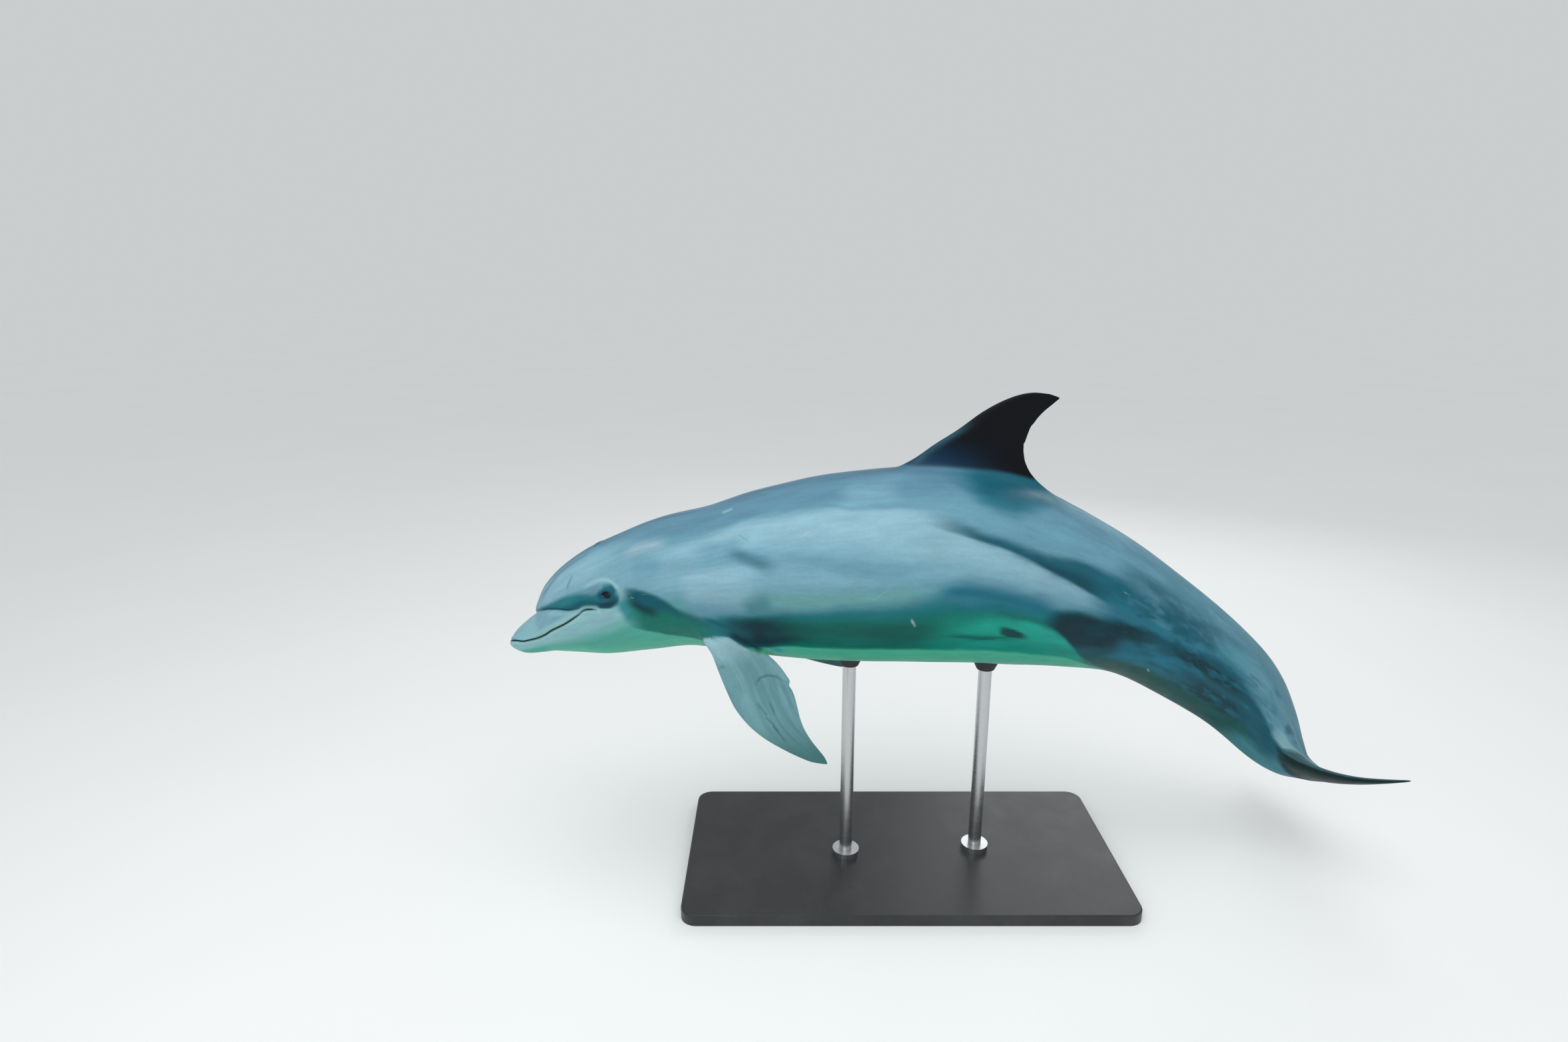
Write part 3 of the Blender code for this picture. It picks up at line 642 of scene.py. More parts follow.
def foil(lead, trail, thick, shrink, flare, pivot=0.5, front=1.0, rear=1.0):
    """Chord places and side offsets round fin sections, blunt in front and fine at the back.

    lead, trail, thick, shrink and flare are arrays by section; the results are sections x loop.
    shrink rounds a section off toward the pivot share of its chord, at the fin's tip. flare pushes it
    outward, in metres, where the fin meets the body; front and rear are the shares of that push kept at
    the leading and trailing edges.
    """
    t = (1 - np.cos(np.linspace(0, math.pi, FOIL_STEPS))) / 2
    shape = 1.48 * np.sqrt(t) - 0.63 * t - 1.76 * t ** 2 + 1.42 * t ** 3 - 0.46 * t ** 4
    shape[-1] = 0.0
    middle = lead + (trail - lead) * pivot
    lead, trail = middle + (lead - middle) * shrink, middle + (trail - middle) * shrink
    thin = np.maximum(thick[:, None] * shape, THINNEST / LENGTH * (t > 0) * (t < 1)) * shrink[:, None] ** 0.5
    chord = lead[:, None] + (trail - lead)[:, None] * t
    x = np.concatenate([chord, chord[:, -2:0:-1]], 1)
    y = np.concatenate([thin, -thin[:, -2:0:-1]], 1)
    dx, dy = np.roll(x, -1, 1) - np.roll(x, 1, 1), np.roll(y, -1, 1) - np.roll(y, 1, 1)
    size = np.maximum(np.hypot(dx, dy), 1e-9)
    back = np.concatenate([t, t[-2:0:-1]])
    kept = (1 - (1 - rear) * ease(back, 0.7, 1.0)) * (1 - (1 - front) * ease(back, 0.3, 0.0))
    push = flare[:, None] / LENGTH * kept
    return x - dy / size * push, y + dx / size * push


def flare_at(height, reach, amount):
    """Outward push of a fin's foot at a height above the skin, easing to nothing at reach."""
    return amount * np.clip((reach - height) / reach, 0.0, 1.0) ** 2.6


def tip_rounding(span, start):
    return np.sqrt(np.clip(1 - (np.clip(span - start, 0, None) / (span[-1] - start)) ** 2, 0.0, 1))


def span_places(knots, tip, tip_count):
    """Places along a fin: even runs of (end, count) after the first knot, then closer toward the tip."""
    runs = [np.array([knots[0]])]
    for end, count in knots[1:]:
        runs.append(np.linspace(runs[-1][-1], end, count)[1:])
    start = runs[-1][-1]
    runs.append(start + (tip - start) * np.sin(np.linspace(0, math.pi / 2, tip_count))[1:])
    return np.concatenate(runs)


def loft(name, rings, mark):
    """Closed piece through rings of equal count; the last ring, and maybe the first, is a point."""
    turns, count = rings.shape[:2]
    faces = [tuple(range(count)), tuple((turns - 1) * count + j for j in range(count))]
    for first in range(0, (turns - 1) * count, count):
        for j in range(count):
            k = (j + 1) % count
            faces.append((first + j, first + k, first + count + k, first + count + j))
    piece = closed_mesh(name, rings.reshape(-1, 3), faces, mark)
    bm = bmesh.new()
    bm.from_mesh(piece.data)
    bmesh.ops.remove_doubles(bm, verts=bm.verts, dist=1e-6)
    bmesh.ops.dissolve_degenerate(bm, edges=bm.edges, dist=1e-7)
    bmesh.ops.recalc_face_normals(bm, faces=bm.faces)
    bm.to_mesh(piece.data)
    bm.free()
    return piece


def dorsal_fin():
    h = span_places((-0.3, (0.16, 36), (0.93, 48)), FIN_LEAD[-1][0], 28)
    up = (FIN_BASE + (FIN_TOP - FIN_BASE) * h) * LENGTH
    nick = 0.0006 * bell(h - 0.415, 0.018) - 0.0004 * bell(h - 0.66, 0.03)
    flare = flare_at(up - FIN_FOOT * LENGTH, 0.055, 0.018)
    x, y = foil(smooth(h, FIN_LEAD), smooth(h, FIN_TRAIL) - nick, smooth(h, FIN_THICK),
                tip_rounding(h, 0.978), flare, 0.6, rear=0.25)
    return loft("dorsal", place(x, y * LENGTH, up[:, None] + 0 * x), DORSAL)


def flipper_axes(side):
    """Root point and the chord, down-the-span and thickness directions; side 1 is the animal's left."""
    root = skin(FLIPPER_STATION, side * FLIPPER_ANGLE)
    _, along, right, up = frame_at(FLIPPER_STATION)
    splay, twist, sweep = (math.radians(v) for v in FLIPPER_POSE[side])
    down = -right * side * math.sin(splay) - up * math.cos(splay)
    outward = -right * side * math.cos(splay) + up * math.sin(splay)
    chord = along * math.cos(twist) - outward * math.sin(twist)
    down, chord = (down * math.cos(sweep) + chord * math.sin(sweep),
                   chord * math.cos(sweep) - down * math.sin(sweep))
    return root, chord, down, np.cross(chord, down)


# lines on a flipper, as shares of the body's length (down the span, across it)
FOLD = ((0.0435, 0.021), (0.0381, 0.022), (0.0342, 0.025), (0.0322, 0.0328), (0.0338, 0.041), (0.04, 0.051))
PLEAT = ((0.011, 0.03), (0.02, 0.0385), (0.029, 0.045), (0.037, 0.05))
FLIPPER_MARKS = (
    ((0.0232, -0.0138), (0.0218, -0.0102)), ((0.072, 0.0288), (0.0772, 0.0345), (0.085, 0.0395)),
    ((0.0803, 0.0352), (0.0873, 0.0408), (0.094, 0.0455)), ((0.0585, 0.0215), (0.0693, 0.029)),
    ((0.0592, 0.0335), (0.0683, 0.0375)))


def on_flipper(line, span, across):
    """Distance in metres from places on a flipper to a (span, across) line, and the share along it."""
    line = np.array([(a, b, 0) for b, a in line]) * LENGTH
    places = np.stack([across, span + 0 * across, 0 * across], -1).reshape(-1, 3) * LENGTH
    return (found.reshape(across.shape) for found in to_line(places, line, 0.05))


def flipper(side):
    """One flipper, with the soft lobe and its fold near the root of the rear edge."""
    b = span_places((FLIPPER_FOOT, (0.024, 26), (0.05, 27), (0.11, 36)), FLIPPER_SPAN, 20)
    root, chord, down, thick = flipper_axes(side)
    flare = flare_at(b * LENGTH + 0.004, 0.04, 0.01)
    notch = 0.0014 * bell(b - 0.0432, 0.0028) - 0.0007 * bell(b - 0.0385, 0.003)
    x, y = foil(smooth(b, FLIPPER_LEAD), smooth(b, FLIPPER_TRAIL) - notch, smooth(b, FLIPPER_THICK),
                tip_rounding(b, 0.1155), flare, 0.85)
    to_fold, share = on_flipper(FOLD, b[:, None], x)
    to_pleat, _ = on_flipper(PLEAT, b[:, None], x)
    relief = 0.0016 * bell(to_pleat, 0.011) - 0.001 * bell(to_fold, 0.0036) * ease(share, 0, 0.25)
    y -= side * relief / LENGTH * (np.sign(y) == -side)
    rings = root + (chord * x[..., None] + down * b[:, None, None] + thick * y[..., None]) * LENGTH
    return loft("flipper", rings, FLIPPER[side])


def fluke_lift(width):
    """Height of the flukes' middle, in metres, at a share of the body's length off the midline."""
    return (FLUKE_LIFT + FLUKE_BOW * (width / FLUKE_SPAN) ** 2) * LENGTH


def flukes():
    half_span = span_places((0.0, (0.03, 16), (0.1, 34)), FLUKE_SPAN, 18)
    y = np.concatenate([-half_span[:0:-1], half_span])
    width = np.abs(y)
    notch = 0.0015 * bell(width, 0.0035)
    shape = (smooth(width, FLUKE_LEAD), smooth(width, FLUKE_TRAIL) - notch, smooth(width, FLUKE_THICK),
             tip_rounding(width, 0.106))
    plump = foil(*shape, flare_at(width * LENGTH, 0.13, 0.04), front=0.25, rear=0.3)
    lean = foil(*shape, flare_at(width * LENGTH, 0.075, 0.01))
    x, z = np.where(plump[1] > 0, plump, lean)
    rings = place(1.0 + x, y[:, None] * LENGTH + 0 * x, z * LENGTH + fluke_lift(width)[:, None])
    return loft("flukes", rings, FLUKES)


def join(obj, piece):
    """Merge a closed piece into the skin and drop the piece."""
    mod = obj.modifiers.new("join", "BOOLEAN")
    mod.operation = "UNION"
    mod.solver = "MANIFOLD"
    mod.object = piece
    with bpy.context.temp_override(object=obj, active_object=obj, selected_objects=[obj]):
        bpy.ops.object.modifier_apply(modifier=mod.name)
    bpy.data.objects.remove(piece, do_unlink=True)


# marks on the faces of each piece of the skin; the body's is 0
DORSAL, FLIPPER, FLUKES = 1, {1: 2, -1: 3}, 4
for piece in (dorsal_fin(), flipper(1), flipper(-1), flukes()):
    join(dolphin, piece)


# ------------------------------------------------------------------ soft joins between fins and body
def read(items, name, width=1, kind=np.int32):
    """One value of each of a mesh's items, as an array."""
    flat = np.empty(len(items) * width, kind)
    items.foreach_get(name, flat)
    return flat.reshape(-1, width) if width > 1 else flat


def seam_points(mesh):
    """Points where a face of one piece meets a face of another, and the highest mark at each point."""
    mark = np.repeat(read(mesh.attributes["piece"].data, "value"), read(mesh.polygons, "loop_total"))
    corner = read(mesh.loops, "vertex_index")
    low, high = np.full(len(mesh.vertices), FLUKES), np.zeros(len(mesh.vertices), int)
    np.minimum.at(low, corner, mark)
    np.maximum.at(high, corner, mark)
    return low != high, high


def relax(points, edges, strength, rounds):
    """Pull each point toward the middle of its neighbours, by its own strength."""
    active = np.flatnonzero(strength > 0)
    a, b = edges[(strength[edges] > 0).any(1)].T
    size = len(points)
    count = np.maximum(np.bincount(a, minlength=size) + np.bincount(b, minlength=size), 1)
    for _ in range(rounds):
        total = np.stack([np.bincount(a, points[b, k], size) + np.bincount(b, points[a, k], size)
                          for k in range(3)], -1)
        points[active] += ((total / count[:, None])[active] - points[active]) * strength[active, None]
    return points


def distance_to(points, seam):
    """Distance of each point to the nearest seam point; 1 metre where it is plainly far."""
    tree = kdtree.KDTree(len(seam))
    for k, p in enumerate(seam):
        tree.insert(p, k)
    tree.balance()
    distance = np.full(len(points), FAR)
    box = ((points > seam.min(0) - 0.05) & (points < seam.max(0) + 0.05)).all(1)
    for v in np.flatnonzero(box):
        distance[v] = tree.find(points[v])[2]
    return distance


SEAM_REACH, SEAM_CORE, SEAM_PULL, SEAM_ROUNDS = 0.03, 0.008, 0.6, 36
mesh = dolphin.data
points = read(mesh.vertices, "co", 3, float)
on_seam, piece_of = seam_points(mesh)
to_seam = distance_to(points, points[on_seam])
pull = SEAM_PULL * ease(to_seam, SEAM_REACH, SEAM_CORE)
points = relax(points, read(mesh.edges, "vertices", 2), pull, SEAM_ROUNDS)
mesh.vertices.foreach_set("co", points.ravel())
mesh.update()

# ------------------------------------------------------------------ where each point lies, for the markings
FLANK_ROUND = 0.22               # metres for a turn of one radian round the body


def in_blocks(function, *arrays):
    """What a function gives for arrays of equal length, worked out block by block to save memory."""
    found = [function(*block) for block in zip(*(np.array_split(a, 30) for a in arrays))]
    return [np.concatenate(part) for part in zip(*found)]


body_s, body_left, body_up = in_blocks(body_place, points)
body_angle, off_skin = in_blocks(round_angle, body_s, body_left, body_up)
angle = np.abs(body_angle)
foot = skin(np.clip(body_s, TIP_FRONT, TAIL_END), body_angle)
flank = np.stack([body_s * LENGTH, np.radians(angle) * FLANK_ROUND, body_left], -1)
wisps = clouds(flank, (0.26, 0.06, 0.2), 31, 4)
mottle = clouds(flank, (0.085, 0.04, 0.1), 57, 4)
patches = clouds(flank, (0.055, 0.03, 0.06), 91, 4)
cloudy = angle + 5.0 * wisps + 3.0 * mottle
crisp = angle + 1.0 * mottle


def srgb(red, green, blue):
    """Linear colour from 0 to 255 values."""
    c = np.array([red, green, blue], float) / 255
    return np.where(c <= 0.04045, c / 12.92, ((c + 0.055) / 1.055) ** 2.4)


# TEAL, SEA, PINE and BLUE_TEAL low on the flanks, neck and tail are painted shade of water light; the green
# in BELLY, THROAT and LOBE is painted light reflected from below onto pale skin
CAPE, CROWN = srgb(84, 128, 150), srgb(58, 100, 124)
SLATE, PALE, BRIGHT = srgb(96, 144, 162), srgb(118, 162, 177), srgb(134, 172, 186)
FOG, LILAC, TAIL = srgb(100, 156, 154), srgb(138, 184, 189), srgb(72, 128, 144)
BLUE_TEAL, TEAL, SEA = srgb(20, 100, 120), srgb(4, 104, 112), srgb(0, 102, 90)
DEEP, INK, PINE = srgb(2, 78, 94), srgb(0, 40, 50), srgb(0, 74, 68)
BELLY, THROAT, LOBE = srgb(72, 172, 143), srgb(68, 158, 142), srgb(14, 152, 132)
NAVY, ROOT = srgb(1, 4, 12), srgb(146, 184, 194)

coat = np.tile(SLATE, (len(points), 1))


def paint(colour, mask):
    coat[:] += (np.asarray(colour) - coat) * np.clip(mask, 0, 1)[:, None]


def zone(top, low, soft, stretch=None, at=cloudy):
    """1 between two edges round the body, over a stretch of stations.

    An edge is (station, angle) knots, an angle, or None where the zone is open. soft is how many degrees
    the edges take each way, one number or a pair. stretch is where the zone starts, is full, fades, ends.
    """
    soft_top, soft_low = soft if isinstance(soft, tuple) else (soft, soft)
    top, low = (smooth(body_s, edge) if isinstance(edge, tuple) else edge for edge in (top, low))
    mask = np.ones(len(at))
    if top is not None:
        mask *= ease(at, top - soft_top, top + soft_top)
    if low is not None:
        mask *= ease(at, low + soft_low, low - soft_low)
    if stretch:
        start, full, fading, end = stretch
        mask *= ease(body_s, start, full) * ease(body_s, end, fading)
    return mask


def layer(colour, strength, top, low, soft, stretch=None, at=cloudy, within=1.0):
    """Paint a zone, where wanted only as strongly as another mask allows."""
    paint(colour, strength * zone(top, low, soft, stretch, at) * within)


def stroke(line, width, soft, colour, strength=1.0, taper=0.25, ragged=0.25, mirror=True):
    """Soft brush stroke along (station, angle) points; ragged bends its edge with the clouds."""
    for side in (mirrored(line) if mirror else (line,)):
        d, share = to_line(foot, trace(side, 0.006), (width + soft) * 1.8)
        d = d * np.maximum(1 + ragged * (1.4 * wisps + 1.2 * mottle), 0.3)
        paint(colour, strength * ease(d, width + soft, max(width - soft, 0.0)) * faded(share, taper))


def paint_back_and_flank():
    """The cape, the pale upper flank that narrows to a point behind the fin, and the shade below it."""
    layer(CAPE, 0.85, None, 34, 10)
    layer(CROWN, 0.8, None, 6, 9)
    pale_top = (
        (0.2, 48), (0.25, 38), (0.33, 37), (0.4, 43), (0.45, 57), (0.5, 66), (0.55, 74.5), (0.6, 81),
        (0.66, 88))
    pale_low = ((0.2, 92), (0.3, 92), (0.38, 90), (0.45, 86), (0.5, 87), (0.56, 90), (0.66, 92))
    layer(PALE, 0.9, pale_top, pale_low, (6, 7), (0.15, 0.21, 0.58, 0.68))
    layer(BRIGHT, 0.8, ((0.2, 45), (0.3, 40), (0.42, 46), (0.5, 67), (0.58, 78)),
          ((0.2, 56), (0.3, 58), (0.42, 72), (0.5, 80), (0.58, 84)), (5, 8), (0.19, 0.26, 0.52, 0.62))
    layer(BRIGHT, 0.8, 74, 98, 6, (0.208, 0.225, 0.262, 0.29))
    layer(SLATE, 0.65, 50, 68, 5, (0.222, 0.242, 0.262, 0.28))
    layer(SLATE, 0.8, ((0.2, 60), (0.3, 66), (0.4, 76)), ((0.2, 70), (0.3, 74), (0.4, 88)), (5, 7),
          (0.22, 0.27, 0.38, 0.46))
    layer(FOG, 0.8, 91, 101, (5, 6), (0.25, 0.3, 0.4, 0.46))
    shade_top = smooth(body_s, (
        (0.21, 114), (0.24, 109), (0.26, 106), (0.3, 103), (0.4, 101), (0.46, 97), (0.52, 97), (0.58, 95),
        (0.64, 92)))
    layer(TEAL, 0.95, shade_top - 0.5, None, 5.5, (0.205, 0.235, 0.62, 0.68))
    layer(SEA, 0.95, shade_top + 7, None, 6, (0.27, 0.31, 0.62, 0.68))
    stroke([(0.43, 95), (0.455, 92), (0.49, 93), (0.53, 96), (0.565, 99)], 0.02, 0.03, BLUE_TEAL,
           0.95, 0.2, 0.4)
    layer(PINE, 0.55, 112, 122, (4, 5), (0.36, 0.4, 0.44, 0.5))


def paint_behind_flipper():
    """Painted shade over and behind the flipper's root: a dark patch and dark lines above it."""
    top = ((0.235, 114), (0.255, 109), (0.28, 108), (0.32, 111), (0.36, 112), (0.43, 113))
    low = ((0.235, 121), (0.26, 129), (0.285, 133), (0.305, 127), (0.34, 122), (0.43, 118))
    layer(PINE, 0.6, top, low, 6, (0.25, 0.3, 0.36, 0.46))
    ends = ease(body_s + 0.02 * mottle, 0.236, 0.278) * ease(body_s + 0.03 * mottle, 0.35, 0.282)
    layer(INK, 0.95, top, low, 5, within=ends)
    stroke([(0.225, 109), (0.245, 114), (0.262, 120)], 0.003, 0.008, DEEP, 0.75, 0.3)
    stroke([(0.266, 105), (0.282, 100), (0.296, 98)], 0.006, 0.028, TEAL, 0.45, 0.3)


def paint_belly():
    """The pale lobe of the belly and its dark wedge, with painted shade in the belly's folds and painted
    green light from below, and the sharp edge of the belly.
    """
    lobe_top = (
        (0.41, 114), (0.46, 108), (0.5, 105.5), (0.54, 107), (0.57, 110), (0.59, 114.5), (0.603, 120),
        (0.62, 129), (0.65, 138))
    lobe_soft = 2 + 5 * ease(body_s, 0.53, 0.47)
    layer(LOBE, 0.9, lobe_top, None, (lobe_soft, 0), (0.42, 0.49, 0.615, 0.64), crisp)
    layer(srgb(30, 150, 142), 0.6, lobe_top, ((0.41, 120), (0.5, 112), (0.57, 116), (0.62, 132)), (2, 3),
          (0.5, 0.54, 0.59, 0.62), crisp)
    # sea-green low on the belly's side: painted light reflected from below
    layer(SEA * 1.4, 0.55, 122, 140, (3, 2), (0.42, 0.46, 0.6, 0.64))
    # painted shade along the fold under the belly's bulge
    layer(PINE, 0.85, ((0.46, 117), (0.5, 118), (0.53, 119)), ((0.46, 120), (0.5, 121.5), (0.53, 121)),
          (2.5, 1), (0.44, 0.475, 0.52, 0.545), crisp)
    # the dark wedge: dark skin deepened with painted shade in the fold
    layer(INK, 0.9, ((0.505, 110.5), (0.52, 111.5), (0.535, 114), (0.552, 118)),
          ((0.505, 112), (0.515, 116.5), (0.53, 119), (0.552, 119)), 0.9,
          (0.506, 0.516, 0.535, 0.552), crisp)
    belly_edge = smooth(body_s, (
        (0.2, 138), (0.286, 134), (0.32, 132), (0.4, 131.5), (0.54, 131.5), (0.58, 132), (0.61, 134),
        (0.63, 138), (0.66, 148), (0.7, 160), (0.76, 175)))
    layer(BELLY, 1.0, belly_edge + 0.2, None, 1.4, (0.205, 0.225, 0.7, 0.78), crisp)


def paint_flipper_root():
    """Painted shade in the fold over and behind the root, a bright spot under it, and the pale arch of the
    root with a painted shadow line at its front.
    """
    # painted shade in the fold over and behind the root
    stroke([(0.25, 120), (0.262, 126), (0.275, 133), (0.284, 140)], 0.009, 0.012, INK, 0.92, 0.2)
    stroke([(0.287, 134), (0.296, 136), (0.304, 143)], 0.006, 0.012, srgb(36, 140, 166), 0.75, 0.3)
    arch = smooth(body_s, (
        (0.221, 150), (0.2228, 137), (0.229, 128.5), (0.238, 124.5), (0.248, 124.5), (0.26, 130),
        (0.272, 138), (0.284, 145), (0.29, 156)))
    layer(ROOT, 0.95, arch + 0.3, 146, (1.1, 5), (0.219, 0.224, 0.28, 0.289), crisp)
    # painted shadow line in the groove along the front of the root's arch
    stroke([(0.2205, 148), (0.2215, 137), (0.2255, 129.5), (0.233, 124)], 0.0012, 0.004, INK, 0.7, 0.3, 0)


def paint_under_dorsal():
    """The shade under the dorsal fin, and the long streak with its sharp lower edge."""
    fin_shade = smooth(body_s, (
        (0.44, 10), (0.46, 28), (0.48, 41), (0.505, 43), (0.52, 38), (0.54, 28), (0.57, 19), (0.62, 10)))
    layer(BLUE_TEAL, 0.85, None, fin_shade - 1, 7, (0.445, 0.485, 0.56, 0.64))
    layer(DEEP, 0.6, None, fin_shade - 7, 7, (0.465, 0.49, 0.53, 0.57))
    layer(PALE, 0.6, 20, 37, (5, 6), (0.35, 0.372, 0.395, 0.42))
    stroke([(0.29, 34), (0.3291, 33), (0.3709, 40), (0.4071, 41), (0.45, 43)], 0.003, 0.01, CAPE, 0.6)
    streak_top = (
        (0.405, 49.5), (0.43, 49), (0.45, 51.5), (0.48, 57), (0.51, 60), (0.54, 63), (0.58, 62), (0.62, 61),
        (0.66, 63), (0.72, 64), (0.78, 69), (0.84, 80))
    streak_low = (
        (0.405, 51), (0.43, 54), (0.45, 58), (0.48, 62.5), (0.51, 67), (0.55, 74.5), (0.58, 78.5),
        (0.61, 82), (0.66, 86), (0.72, 88), (0.84, 92))
    sharp = zone(None, streak_low, (0, 1.3 + 5 * ease(body_s, 0.585, 0.64)), at=crisp)
    layer(DEEP, 0.92, streak_top, None, 3.5, (0.412, 0.48, 0.6, 0.66), within=sharp)
    layer(BLUE_TEAL, 0.9, streak_top, 98, (5, 6), (0.57, 0.63, 0.8, 0.88))
    layer(INK, 0.5, ((0.5, 64), (0.55, 69), (0.6, 73)), streak_low, (3, 2), (0.49, 0.53, 0.57, 0.62))


def paint_tail_stock():
    """A side darkened by painted shade in cloudy patches, lighter above, and low down toward the flukes,
    with a painted shadow where the flukes leave it.
    """
    layer(TAIL, 0.75, None, 60, 10, (0.6, 0.7, 0.97, 1.0))
    dark_top = (
        (0.54, 104), (0.56, 98), (0.6, 94), (0.64, 91), (0.68, 88), (0.72, 84), (0.78, 80), (0.84, 86),
        (0.9, 98), (0.96, 104))
    side = zone(None, (
        (0.54, 104), (0.56, 106), (0.58, 111), (0.6, 119), (0.62, 128), (0.64, 136), (0.66, 146),
        (0.68, 158), (0.7, 190)), 1.3, at=crisp)
    layer(DEEP, 0.92, dark_top, None, 4, (0.545, 0.57, 0.9, 0.96), within=side)
    layer(INK, 0.92, dark_top, 121, (3, 7), (0.55, 0.575, 0.645, 0.7), within=side)
    layer(PINE, 0.9, 124, None, 8, (0.6, 0.64, 0.86, 0.92), within=side)
    layer(BLUE_TEAL * 1.2, 0.75, 104, 124, (4, 5), (0.635, 0.66, 0.7, 0.76))
    layer(INK, 0.85, None, 100, 4, (0.69, 0.73, 0.79, 0.84), within=ease(cloudy + 6 * mottle, 84, 92))
    layer(INK, 0.8, 108, 128, (5, 6), (0.74, 0.78, 0.82, 0.87))
    layer(TAIL * 1.15, 0.55, 68, 86, 6, (0.59, 0.64, 0.74, 0.8), angle, ease(mottle, 0.1, 0.38))
    layer(SLATE, 0.6, None, 52, 10, (0.52, 0.57, 0.74, 0.84), within=ease(mottle, -0.05, 0.35))
    layer(DEEP, 0.55, 48, 78, (7, 8), (0.6, 0.64, 0.74, 0.8))
    layer(DEEP, 0.6, 53, None, 13, (0.58, 0.66, 0.92, 0.96), angle, ease(patches, 0.02, 0.42))
    layer(SLATE, 0.45, None, 77, 7, (0.6, 0.68, 0.92, 0.96), angle, ease(patches, -0.04, -0.42))
    layer(BLUE_TEAL * 1.25, 0.6, 76, 128, (6, 8), (0.62, 0.7, 0.92, 0.96), angle,
          ease(patches, -0.02, -0.42))
    layer(TAIL * 1.1, 0.6, 66, 84, (5, 6), (0.8, 0.83, 0.87, 0.91))
    layer(SLATE * 0.9, 0.6, None, 49, 13, (0.74, 0.8, 0.9, 0.96))
    layer(srgb(76, 146, 160), 0.6, 56, 74, 6, (0.74, 0.765, 0.79, 0.82))
    layer(srgb(66, 134, 144), 0.7, 134, None, 8, (0.84, 0.885, 0.925, 0.95))
    layer(LILAC, 0.8, 82, 100, (4, 3), (0.88, 0.905, 0.94, 0.965))
    # painted shadow in the crease where the flukes' leading edges leave the tail stock
    fluke_root_shadow_start = 0.906 + np.clip(angle - 104, 0, 60) * 0.0009
    paint(srgb(0, 30, 32), 0.97 * ease(body_s, fluke_root_shadow_start - 0.008, fluke_root_shadow_start + 0.01) * ease(crisp, 97, 108))


def paint_head():
    """Pale melon, beak and lower jaw, and a throat greened by painted light reflected from below."""
    layer(PALE, 0.95, 17, None, 9, within=ease(body_s, 0.2, 0.15))
    layer(BRIGHT, 0.6, 28, 52, (6, 5), (0.05, 0.075, 0.13, 0.165))
    paint(srgb(130, 176, 186), 0.9 * ease(body_s, 0.052, 0.042))
    layer(srgb(132, 182, 186), 0.95, 79, None, 3, within=ease(body_s, 0.156, 0.142))
    # the throat's green is painted light reflected from below
    throat_top = smooth(body_s, (
        (0.0, 128), (0.03, 120), (0.045, 116), (0.06, 112), (0.08, 108), (0.1, 106), (0.14, 103),
        (0.16, 98)))
    layer(THROAT, 0.95, throat_top - 0.5, None, 11.5, (-0.01, 0.012, 0.2, 0.225))
    layer(BELLY, 0.9, 127, None, 13, (0.04, 0.07, 0.215, 0.235))
    layer(BRIGHT, 0.7, 87, 97, (3, 4), (0.108, 0.118, 0.136, 0.148))


def paint_neck():
    """A dark stripe from the ear to the flipper, over a sea-green patch with a sharp lower edge."""
    top = (
        (0.145, 82), (0.16, 77), (0.165, 74), (0.17, 76), (0.18, 82), (0.19, 90), (0.2, 98), (0.207, 104),
        (0.225, 110), (0.245, 116))
    low = (
        (0.14, 96), (0.146, 101), (0.15, 108), (0.16, 116), (0.17, 121), (0.18, 126), (0.2, 131.5),
        (0.215, 135), (0.235, 140))
    layer(srgb(34, 132, 136), 0.85, 82, 102, (4, 5), (0.146, 0.154, 0.172, 0.18))
    ends = ease(body_s + (angle - 100) * 3e-4, 0.146, 0.17) * ease(body_s, 0.245, 0.222)
    # the patch is darker skin of the lower neck; its sea-green is painted water light
    layer(SEA, 0.95, top, low, (5, 1.6), at=crisp, within=ends)
    layer(DEEP, 0.92, top, ((0.155, 84), (0.165, 92), (0.175, 98), (0.19, 102), (0.207, 108), (0.245, 120)),
          (3.5, 6), (0.157, 0.176, 0.215, 0.245), crisp)
    stroke([(0.16, 82), (0.168, 92), (0.176, 99), (0.19, 104)], 0.004, 0.02, INK, 0.8, 0.35, 0.4)


BAND_LOW = (
    (0.045, 22), (0.055, 40), (0.062, 51), (0.0716, 58.5), (0.084, 66.5), (0.097, 73.5), (0.112, 76),
    (0.122, 78.5), (0.132, 83), (0.142, 86), (0.15, 84.5), (0.155, 80), (0.157, 76))


